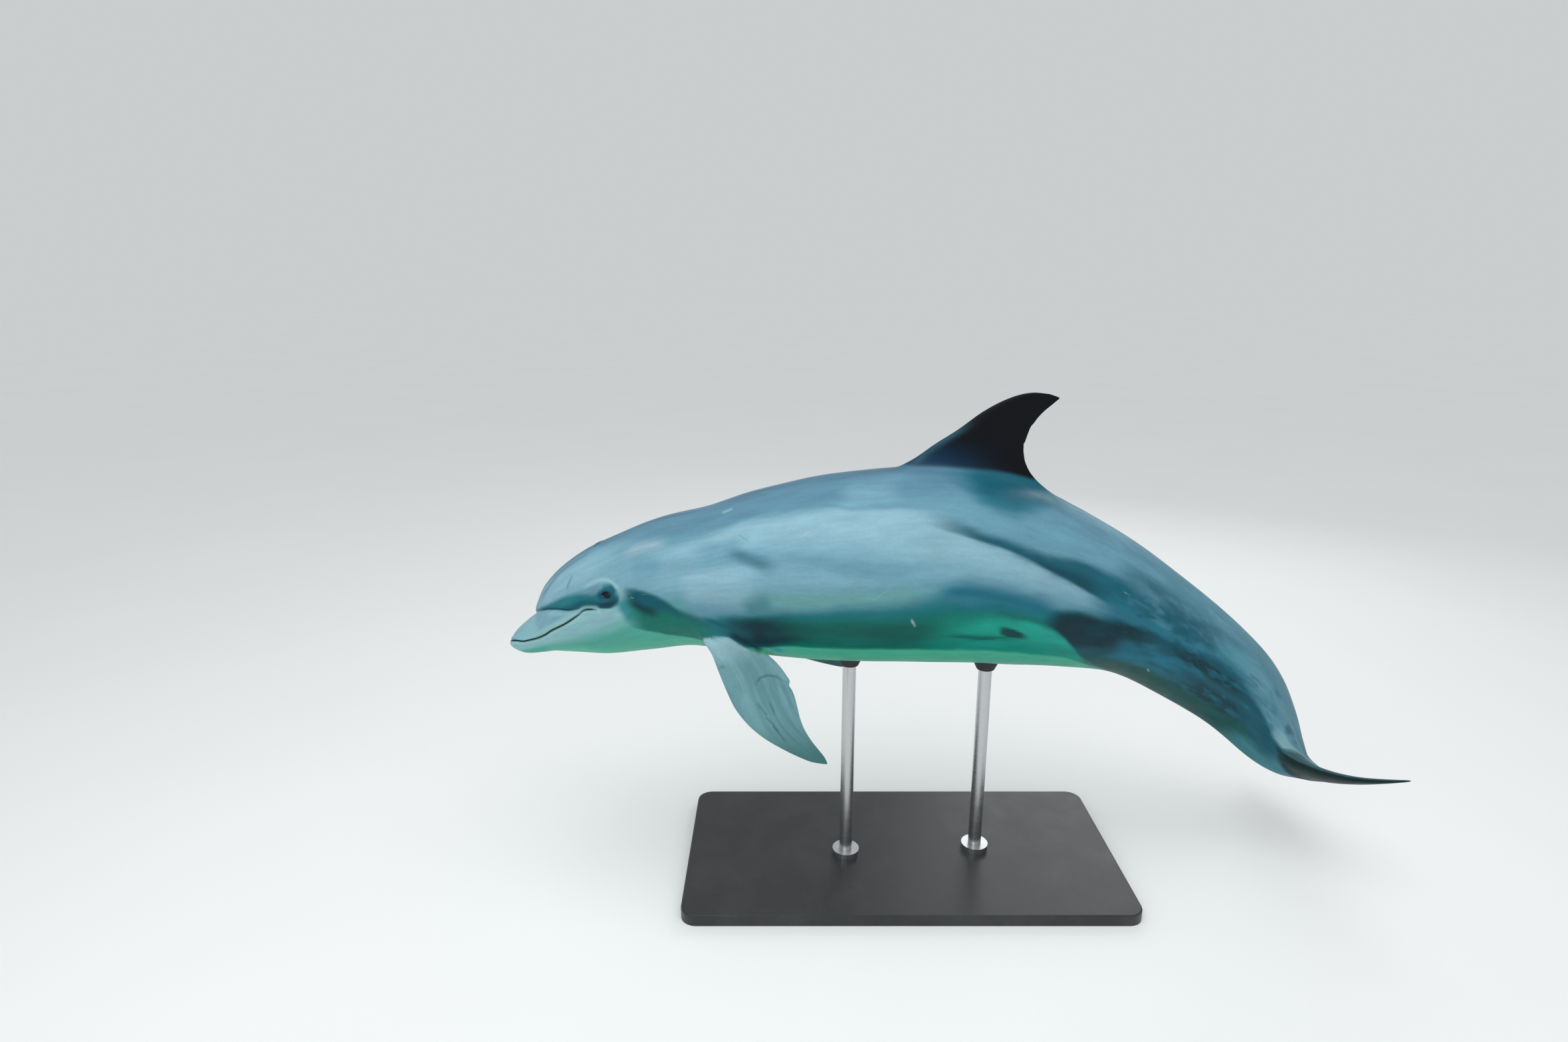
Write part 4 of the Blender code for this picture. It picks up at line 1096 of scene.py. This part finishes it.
def paint_eye_band():
    """From the melon's fold to the eye, darkest along its lower side and under the lower lid, where shade
    under the melon's overhang and the lid is painted in.
    """
    top = (
        (0.045, 30), (0.055, 42), (0.07, 52), (0.085, 56), (0.1, 58), (0.11, 60.5), (0.12, 64), (0.13, 67.5),
        (0.137, 68), (0.145, 63), (0.152, 65), (0.157, 74))
    soft = (3.4, 1.3 + 2.0 * ease(body_s, 0.138, 0.152))
    band = zone(top, BAND_LOW, soft, (0.047, 0.06, 0.1515, 0.1585), angle + 1.5 * mottle)
    layer(SLATE * 0.85, 0.7, 58, 70, (3, 4), (0.1, 0.115, 0.136, 0.146))
    paint(TEAL, 0.92 * band)
    under_top = (
        (0.06, 49), (0.08, 62), (0.1, 69), (0.112, 68), (0.122, 71), (0.132, 75.5), (0.14, 78), (0.15, 79),
        (0.158, 76))
    # painted shade along the band's lower side, under the melon's overhang and toward the lower lid
    layer(DEEP, 0.9, under_top, None, 3.5, at=angle + mottle, within=band)
    stroke([(0.1385, 71.5), (0.144, 73), (0.147, 74)], 0.012, 0.007, srgb(0, 56, 84), 0.75, 0, 0)
    # painted shadow under the lower lid
    stroke([(0.126, 76), (0.131, 79), (0.137, 81.5), (0.144, 82.5), (0.1505, 80.5), (0.1545, 75.5)],
           0.003, 0.0075, INK, 0.75, 0.45, 0)
    stroke([(0.147, 64), (0.151, 67.5), (0.154, 72), (0.1545, 77)], 0.0025, 0.007, srgb(0, 66, 96),
           0.5, 0.45, 0)
    stroke([(0.116, 59), (0.128, 57), (0.1384, 56.5), (0.1475, 58.5), (0.1545, 64), (0.158, 71),
            (0.1605, 80)], 0.0012, 0.006, srgb(150, 190, 192), 0.65, 0.25, 0.3)


def paint_mouth():
    """Painted shade in the mouth line, painted highlights along both lips, and painted shade in the fold of
    the melon.
    """
    d, _ = to_line(foot, mouth_line, 0.03)
    upper_lip = section(body_s, body_angle)[1] > smooth(body_s, MOUTH) * LENGTH
    # painted highlights on the rolls of the upper and lower lips
    paint(srgb(148, 188, 178), 0.55 * bell(d - 0.006, 0.004) * upper_lip * ease(body_s, 0.03, 0.05))
    paint(srgb(156, 198, 200), 0.6 * bell(d - 0.006, 0.0045) * ~upper_lip)
    # painted shade in the mouth's cleft, fading at the corner of the gape
    paint(srgb(0, 52, 58), bell(d, 0.0026) * (0.15 + 0.85 * ease(body_s, 0.127, 0.1195)))
    d, _ = to_line(foot, crease_line, 0.03)
    # painted shade in the fold under the melon's overhang
    paint(srgb(0, 84, 94), 0.85 * bell(d, 0.0028) * ease(body_s, 0.116, 0.1))
    beside_fold = bell(d - 0.012, 0.0075) * (angle > smooth(body_s, BAND_LOW))
    layer(LILAC, 0.55, None, None, 0, (0.06, 0.075, 0.105, 0.118), within=beside_fold)


def paint_details():
    """Bridle lines on the melon, pale nape, marks of old wounds, a band of painted shade on the flank, and
    painted shade in the blowhole and ear.
    """
    stroke([(0.06, 38), (0.07, 33), (0.082, 27), (0.1, 20), (0.14, 16)], 0.003, 0.009, CAPE, 0.75, 0.2)
    stroke([(0.1, 52), (0.106, 44), (0.113, 36)], 0.0012, 0.005, CAPE, 0.75, 0.3, 0)
    stroke([(0.166, 38), (0.182, 39), (0.2, 41), (0.212, 42)], 0.008, 0.024, srgb(152, 178, 190), 0.65, 0.35)
    stroke([(0.172, 60), (0.19, 58), (0.206, 60)], 0.008, 0.024, SLATE, 0.7, 0.3, 0.5)
    # a band of painted shade slanting down the flank above the flipper
    stroke([(0.25, 57), (0.265, 63), (0.278, 68.5), (0.29, 73), (0.302, 79)], 0.006, 0.028, DEEP,
           0.62, 0.4, 0.5)
    stroke([(0.25, 20), (0.256, 19), (0.262, 18)], 0.0015, 0.011, LILAC, 0.7, 0.3, 0.8, mirror=False)
    # painted shade in the blowhole's slit
    paint(INK, 0.9 * bell(to_line(foot, blowhole_line, 0.03)[0], 0.0026))
    # painted shade in the ear's pinhole
    stroke(EAR, 0.0004, 0.002, INK, 0.9, 0, 0)


def paint_dorsal():
    """Near black, bluer low in front, with a painted highlight along the leading edge."""
    height = (body_up / LENGTH - FIN_BASE) / (FIN_TOP - FIN_BASE)
    fin_foot = 0.005 + 0.01 * ease(body_s, 0.46, 0.525) + 0.034 * ease(body_s, 0.53, 0.545)
    on_fin = zone(None, 50, 10, (0.395, 0.405, 0.56, 0.57), angle) * ease(np.abs(body_left), 0.06, 0.045)
    on_fin *= ease(off_skin + 0.004 * wisps, fin_foot, fin_foot + 0.012)
    paint(NAVY, on_fin)
    paint(srgb(0, 54, 84), on_fin * 0.85 * ease(height, 0.45, 0.05) * ease(body_s, 0.51, 0.44))
    # painted highlight just behind the leading edge
    behind_edge = (body_s - smooth(np.clip(height, -0.4, 1), FIN_LEAD)) * LENGTH
    paint(srgb(30, 78, 94), on_fin * 0.75 * bell(behind_edge - 0.004, 0.011)
          * ease(height, 0.02, 0.1) * ease(height, 0.62, 0.4))


def paint_flipper(side):
    """Pale at the root and darker down the span, streaked, with painted shade in the fold and marks on its
    outer face.
    """
    root, chord, down, thick = flipper_axes(side)
    span, across = ((points - root) @ down) / LENGTH, ((points - root) @ chord) / LENGTH
    here = (piece_of == FLIPPER[side]) * ease(to_seam, 0.003, 0.011)
    outer = here * ((points - root) @ thick * -side > 0)
    paint(srgb(106, 150, 158), here)
    paint(ROOT, here * ease(span, 0.024, -0.004) * 0.95)
    paint(srgb(48, 96, 92), here * ease(span + 0.01 * wisps, 0.07, 0.116) * 0.85)
    off_middle = across - (smooth(span, FLIPPER_LEAD) + smooth(span, FLIPPER_TRAIL)) / 2
    grid = np.stack([span, off_middle, 0 * span], -1) * LENGTH
    streaks = clouds(grid, (0.14, 0.01, 1), 71 + FLIPPER[side], 3)
    paint(srgb(66, 108, 116), here * ease(streaks, -0.1, 0.6) * ease(span, 0.01, 0.05) * 0.4)
    paint(ROOT, here * ease(streaks, -0.1, -0.6) * ease(span, 0.09, 0.03) * 0.25)
    # painted shade in the fold
    to_fold, share = on_flipper(FOLD, span, across)
    paint(srgb(40, 84, 104), outer * 0.6 * bell(to_fold, 0.0026) * ease(share, 0, 0.35))
    for line in FLIPPER_MARKS:
        d, _ = on_flipper(line, span, across)
        paint(srgb(40, 84, 92), outer * 0.5 * bell(d, 0.0024))
    d, _ = on_flipper(PLEAT, span, across)
    paint(LILAC, outer * 0.5 * bell(d, 0.012))


def paint_flukes():
    # upper faces dark blue-grey; the undersides darker green: painted shade with green light reflected from
    # below
    here = (piece_of == FLUKES) * ease(np.abs(body_left), 0.03, 0.055)
    paint(srgb(50, 84, 96), here)
    paint(srgb(4, 40, 38), here * (body_up < fluke_lift(np.abs(body_left) / LENGTH)))


# each coat lies over the ones before it
for paint_part in (paint_back_and_flank, paint_behind_flipper, paint_belly, paint_flipper_root,
                   paint_under_dorsal, paint_tail_stock, paint_head, paint_neck, paint_eye_band,
                   paint_mouth, paint_details, paint_dorsal):
    paint_part()
for side in FLIPPER:
    paint_flipper(side)
paint_flukes()

# faint cloudiness everywhere
coat *= (1 + 0.11 * wisps + 0.09 * mottle)[:, None]
coat = np.clip(coat, 0.0005, 0.9)


def store(mesh, name, kind, values):
    """Keep one value for each point of a mesh, for its material to read."""
    data = mesh.attributes.new(name, kind, "POINT").data
    data.foreach_set("color" if kind == "FLOAT_COLOR" else "vector", values.astype(np.float32).ravel())


store(mesh, "coat", "FLOAT_COLOR", np.concatenate([coat, np.ones((len(coat), 1))], 1))
store(mesh, "flank", "FLOAT_VECTOR", flank)
mesh.attributes.remove(mesh.attributes["piece"])
mesh.shade_smooth()


# ------------------------------------------------------------------ materials
class Nodes:
    """Short names for making and linking shader nodes."""

    def __init__(self, name):
        self.material = bpy.data.materials.new(name)
        self.material.use_nodes = True
        self.tree = self.material.node_tree
        self.shader = self.tree.nodes["Principled BSDF"]

    def set(self, **values):
        for name, value in values.items():
            self.shader.inputs[name.replace("_", " ").title().replace("Ior", "IOR")].default_value = value

    def add(self, kind, inputs=(), **settings):
        node = self.tree.nodes.new("ShaderNode" + kind)
        for name, value in settings.items():
            setattr(node, name, value)
        for name, value in dict(inputs).items():
            socket = node.inputs[name]
            if isinstance(value, bpy.types.NodeSocket):
                self.tree.links.new(value, socket)
            else:
                socket.default_value = value
        return node

    def link(self, output, name):
        self.tree.links.new(output, self.shader.inputs[name])

    def attribute(self, name, output="Vector"):
        return self.add("Attribute", attribute_name=name).outputs[output]

    def position(self):
        return self.add("NewGeometry").outputs["Position"]

    def math(self, operation, *values):
        return self.add("Math", dict(enumerate(values)), operation=operation).outputs[0]

    def times(self, a, b):
        return self.math("MULTIPLY", a, b)

    def noise(self, vector, scale, detail=3.0, roughness=0.5, stretch=None):
        if stretch:
            vector = self.add("Mapping", {"Vector": vector, "Scale": stretch}).outputs[0]
        return self.add("TexNoise", {"Vector": vector, "Scale": scale, "Detail": detail,
                                     "Roughness": roughness}).outputs["Fac"]

    def ramp(self, fac, low, high, out_low=0.0, out_high=1.0):
        return self.add("MapRange", {"Value": fac, "From Min": low, "From Max": high, "To Min": out_low,
                                     "To Max": out_high}).outputs[0]

    def tint(self, fac, a, b, blend="MIX"):
        a, b = ((*c, 1) if isinstance(c, tuple) else c for c in (a, b))
        return self.add("Mix", {0: fac, 6: a, 7: b}, data_type="RGBA", blend_type=blend).outputs[2]

    def bump(self, height, distance, strength=1.0):
        node = self.add("Bump", {"Height": height, "Distance": distance, "Strength": strength})
        self.link(node.outputs[0], "Normal")


# old tooth rakes and scratches: ends as (station, angle), side, half width in millimetres, strength,
# which is below 0 for a dark one
SCRATCHES = (
    ((0.2651, 46), (0.2762, 55), 1, 1.6, -0.55), ((0.3055, 61), (0.3166, 57), 1, 1.4, 0.5),
    ((0.3166, 57), (0.3291, 51), 1, 1.4, 0.5), ((0.3737, 2), (0.3778, 13), 1, 1.2, -0.6),
    ((0.37, 3), (0.3735, 12), 1, 1.0, -0.5), ((0.7105, 4), (0.718, 16), 1, 3.0, 0.85),
    ((0.718, 16), (0.7205, 30), 1, 1.6, -0.5), ((0.3764, 98), (0.4001, 88), 1, 1.0, 0.35),
    ((0.166, 83.5), (0.1695, 85.5), 1, 1.5, 0.85), ((0.176, 84), (0.184, 86), 1, 1.2, 0.3),
    ((0.6214, 69), (0.63, 70), 1, 1.6, 0.6), ((0.8163, 70), (0.8428, 73), 1, 2.0, 0.5),
    ((0.21, 18), (0.215, 21), 1, 1.2, 0.35), ((0.33, 70), (0.342, 62), -1, 1.4, 0.45),
    ((0.334, 73), (0.346, 65), -1, 1.2, 0.4), ((0.56, 50), (0.57, 61), -1, 1.3, -0.45),
    ((0.66, 80), (0.672, 88), -1, 1.6, 0.4), ((0.23, 40), (0.236, 50), -1, 1.3, -0.4),
    ((0.4165, 107), (0.4215, 113), 1, 4.5, 0.95), ((0.703, 125), (0.71, 129), 1, 4.5, 0.85),
)


def scratch(n, on_flank, start, end, side, width, strength):
    """Mask of one scratch on one side of the body, from the three parts of a place on the flank."""
    x, y, left = on_flank
    a, b = (np.array([s * LENGTH, math.radians(turn) * FLANK_ROUND]) for s, turn in (start, end))
    run = float(np.linalg.norm(b - a))
    dx, dy = ((b - a) / run).tolist()
    from_x, from_y = n.math("SUBTRACT", x, float(a[0])), n.math("SUBTRACT", y, float(a[1]))
    along = n.math("ADD", n.times(from_x, dx), n.times(from_y, dy))
    across = n.math("ABSOLUTE", n.math("SUBTRACT", n.times(from_y, dx), n.times(from_x, dy)))
    off_middle = n.math("ABSOLUTE", n.math("SUBTRACT", along, run / 2))
    line = n.times(n.ramp(across, width * 1e-3, 0.0), n.ramp(off_middle, run / 2, run * 0.2))
    return n.times(line, n.ramp(left, 0.0, side * 0.01, 0.0, abs(strength)))


def skin_material():
    """The markings with fine cloudiness and scratches, in a damp satin finish."""
    n = Nodes("dolphin_skin")
    place_on, spot = n.attribute("flank"), n.position()
    streaks = n.noise(place_on, 14.0, 6.0, 0.62, (1.0, 4.5, 2.0))
    grain = n.noise(spot, 160.0, 5.0, 0.6)
    shade = n.times(n.ramp(streaks, 0.28, 0.72, 0.9, 1.1), n.ramp(grain, 0.25, 0.75, 0.955, 1.045))
    grey = n.add("CombineColor", {0: shade, 1: shade, 2: shade}).outputs[0]
    colour = n.tint(1.0, n.attribute("coat", "Color"), grey, "MULTIPLY")
    on_flank = n.add("SeparateXYZ", {0: place_on}).outputs
    pale, dark = 0.0, 0.0
    worn = n.ramp(n.noise(place_on, 260.0, 3.0, 0.6), 0.38, 0.58, 0.15, 1.0)
    for row in SCRATCHES:
        line = n.times(scratch(n, on_flank, *row), worn)
        if row[-1] > 0:
            pale = n.math("ADD", line, pale)
        else:
            dark = n.math("ADD", line, dark)
    colour = n.tint(pale, colour, (0.5, 0.62, 0.64))
    n.link(n.tint(dark, colour, (0.02, 0.07, 0.09)), "Base Color")
    n.link(n.ramp(n.noise(spot, 30.0, 4.0, 0.6), 0.3, 0.7, 0.4, 0.54), "Roughness")
    fine = n.noise(spot, 420.0, 4.0, 0.6)
    soft = n.noise(place_on, 60.0, 3.0, 0.5, (0.6, 2.0, 1.0))
    n.bump(n.math("SUBTRACT", n.math("ADD", n.times(fine, 0.35), soft), n.times(dark, 1.5)), 0.0006, 0.6)
    n.set(specular_ior_level=0.15, coat_weight=0.04, coat_roughness=0.22)
    return n.material


def dress(obj, made):
    obj.data.materials.clear()
    obj.data.materials.append(made)


dress(dolphin, skin_material())
FLESH = ("head", "upper_jaw", "lower_jaw", "blowhole", "neck", "chest", "belly", "loins", "tail_stock",
         "dorsal_fin", "flipper_left", "flipper_right", "fluke_left", "fluke_right")
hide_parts(*FLESH)
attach(dolphin, "root")


# ------------------------------------------------------------------ eyes
def eye_material():
    """Very dark eye with a wide pupil, a fibrous iris and a greyer white at the rim."""
    n = Nodes("dolphin_eye")
    place_on = n.attribute("eye_place")
    along, upward, _ = n.add("SeparateXYZ", {0: place_on}).outputs
    wide = n.times(along, 0.8)
    radius = n.math("SQRT", n.math("ADD", n.times(wide, wide), n.times(upward, upward)))
    fibres = n.noise(place_on, 900.0, 4.0, 0.6)
    blur = n.math("ADD", radius, n.ramp(fibres, 0.2, 0.8, -0.0004, 0.0004))
    iris = n.tint(fibres, (0.004, 0.005, 0.008), (0.014, 0.012, 0.014))
    colour = n.tint(n.ramp(blur, 0.0078, 0.0092), iris, (0.03, 0.036, 0.044))
    n.link(n.tint(n.ramp(blur, 0.0052, 0.0044), colour, (0.002, 0.002, 0.003)), "Base Color")
    n.link(n.ramp(fibres, 0.2, 0.8, 0.04, 0.08), "Roughness")
    n.set(specular_ior_level=0.18, coat_weight=0.1, coat_roughness=0.02)
    return n.material


EYE_COLUMNS = 72
FRONT_CAP = 1.25                 # radians from the middle of the eye where its finer rings end
eye_finish = eye_material()
for side, name in ((1, "left"), (-1, "right")):
    centre, out, ahead, upward = eye_frame(side)
    axes = np.array([ahead, upward, out])
    tilt = np.concatenate([np.linspace(0, FRONT_CAP, 34), np.linspace(FRONT_CAP, math.pi, 22)[1:]])[:, None]
    turn = np.arange(EYE_COLUMNS) * 2 * math.pi / EYE_COLUMNS
    globe = np.stack([np.sin(tilt) * np.cos(turn), np.sin(tilt) * np.sin(turn), np.cos(tilt) + 0 * turn], -1)
    ball = loft("eyeball_" + name, centre + EYE_RADIUS * globe @ axes, 0)
    ball.data.attributes.remove(ball.data.attributes["piece"])
    local = (read(ball.data.vertices, "co", 3, float) - centre) @ np.linalg.inv(axes)
    store(ball.data, "eye_place", "FLOAT_VECTOR", local)
    ball.data.shade_smooth()
    dress(ball, eye_finish)
    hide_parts("eye_" + name)
    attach(ball, "root")


# ------------------------------------------------------------------ stand and floor
def finish(name, noise, colours, rough=None, bump=None, fade=None, bump_noise=None, **settings):
    """Material whose colour and roughness follow one noise; its bump follows the same or another one."""
    n = Nodes(name)
    cloud = n.noise(n.position(), *noise)
    n.link(n.tint(n.ramp(cloud, *fade) if fade else cloud, *colours), "Base Color")
    if rough:
        n.link(n.ramp(cloud, 0.3, 0.7, *rough), "Roughness")
    if bump:
        n.bump(n.noise(n.position(), *bump_noise) if bump_noise else cloud, *bump)
    n.set(**settings)
    return n.material


black = finish("stand_satin_black", (9.0, 6.0, 0.65), ((0.018, 0.019, 0.021), (0.034, 0.035, 0.038)),
               (0.3, 0.42), (0.0004, 0.35), fade=(0.42, 0.72), bump_noise=(240.0, 3.0, 0.5))
steel = finish("stand_brushed_steel", (60.0, 4.0, 0.6, (0.4, 0.4, 30.0)),
               ((0.44, 0.45, 0.46), (0.66, 0.67, 0.68)), (0.24, 0.36), (0.0002, 0.3), metallic=1.0)
rubber = finish("stand_pad_rubber", (500.0, 3.0, 0.6), ((0.02, 0.02, 0.022), (0.04, 0.04, 0.042)),
                (0.62, 0.78), (0.0004, 0.5))
dress(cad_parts["stand_base"], black)
for end in ("front", "rear"):
    for part, made in (("rod", steel), ("ferrule", steel), ("saddle", rubber)):
        dress(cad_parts["stand_%s_%s" % (part, end)], made)

# the floor glows just enough to meet the background at the horizon
STUDIO, STUDIO_LIGHT, FLOOR_GLOW = (0.8, 0.82, 0.83), 0.74, 0.21
bpy.ops.mesh.primitive_circle_add(vertices=96, radius=45.0, fill_type="NGON")
floor = bpy.context.active_object
floor.name = "floor"
pale_floor = finish("floor", (1.2, 4.0, 0.5), ((0.76, 0.77, 0.77), (0.8, 0.81, 0.81)), roughness=0.8,
                    specular_ior_level=0.1, emission_color=(*STUDIO, 1),
                    emission_strength=STUDIO_LIGHT * FLOOR_GLOW)
dress(floor, pale_floor)

# ------------------------------------------------------------------ light and camera
world = bpy.data.worlds.new("studio")
bpy.context.scene.world = world
world.use_nodes = True
world.node_tree.nodes["Background"].inputs["Color"].default_value = (*STUDIO, 1)
world.node_tree.nodes["Background"].inputs["Strength"].default_value = STUDIO_LIGHT


def area_light(name, place_at, aim, size, power):
    lamp = bpy.data.lights.new(name, "AREA")
    lamp.shape = "RECTANGLE"
    lamp.size, lamp.size_y = size
    lamp.energy = power
    obj = bpy.data.objects.new(name, lamp)
    obj.location = place_at
    obj.rotation_mode = "QUATERNION"
    obj.rotation_quaternion = (Vector(aim) - Vector(place_at)).to_track_quat("-Z", "Y")
    bpy.context.scene.collection.objects.link(obj)


area_light("overhead", (-0.2, -0.9, 3.6), (0, 0, 0.8), (4.0, 2.4), 58)
area_light("front_fill", (-1.6, -3.4, 2.0), (-0.1, 0, 0.8), (2.2, 1.8), 26)
area_light("back_fill", (1.8, 3.2, 2.4), (0.1, 0, 0.8), (2.4, 1.8), 22)

VIEW = (-0.32015, -2.16572, 1.55494)
VIEW_DOWN, LENS, SENSOR = 15.2, 20.6, 36.0
lens = bpy.data.cameras.new("camera")
lens.sensor_width, lens.lens = SENSOR, LENS
lens.clip_start, lens.clip_end = 0.05, 200.0
camera = bpy.data.objects.new("camera", lens)
camera.location = VIEW
camera.rotation_euler = (math.radians(90 - VIEW_DOWN), 0, 0)
bpy.context.scene.collection.objects.link(camera)
bpy.context.scene.camera = camera
bpy.context.scene.view_settings.view_transform = "Standard"

bpy.context.view_layer.update()
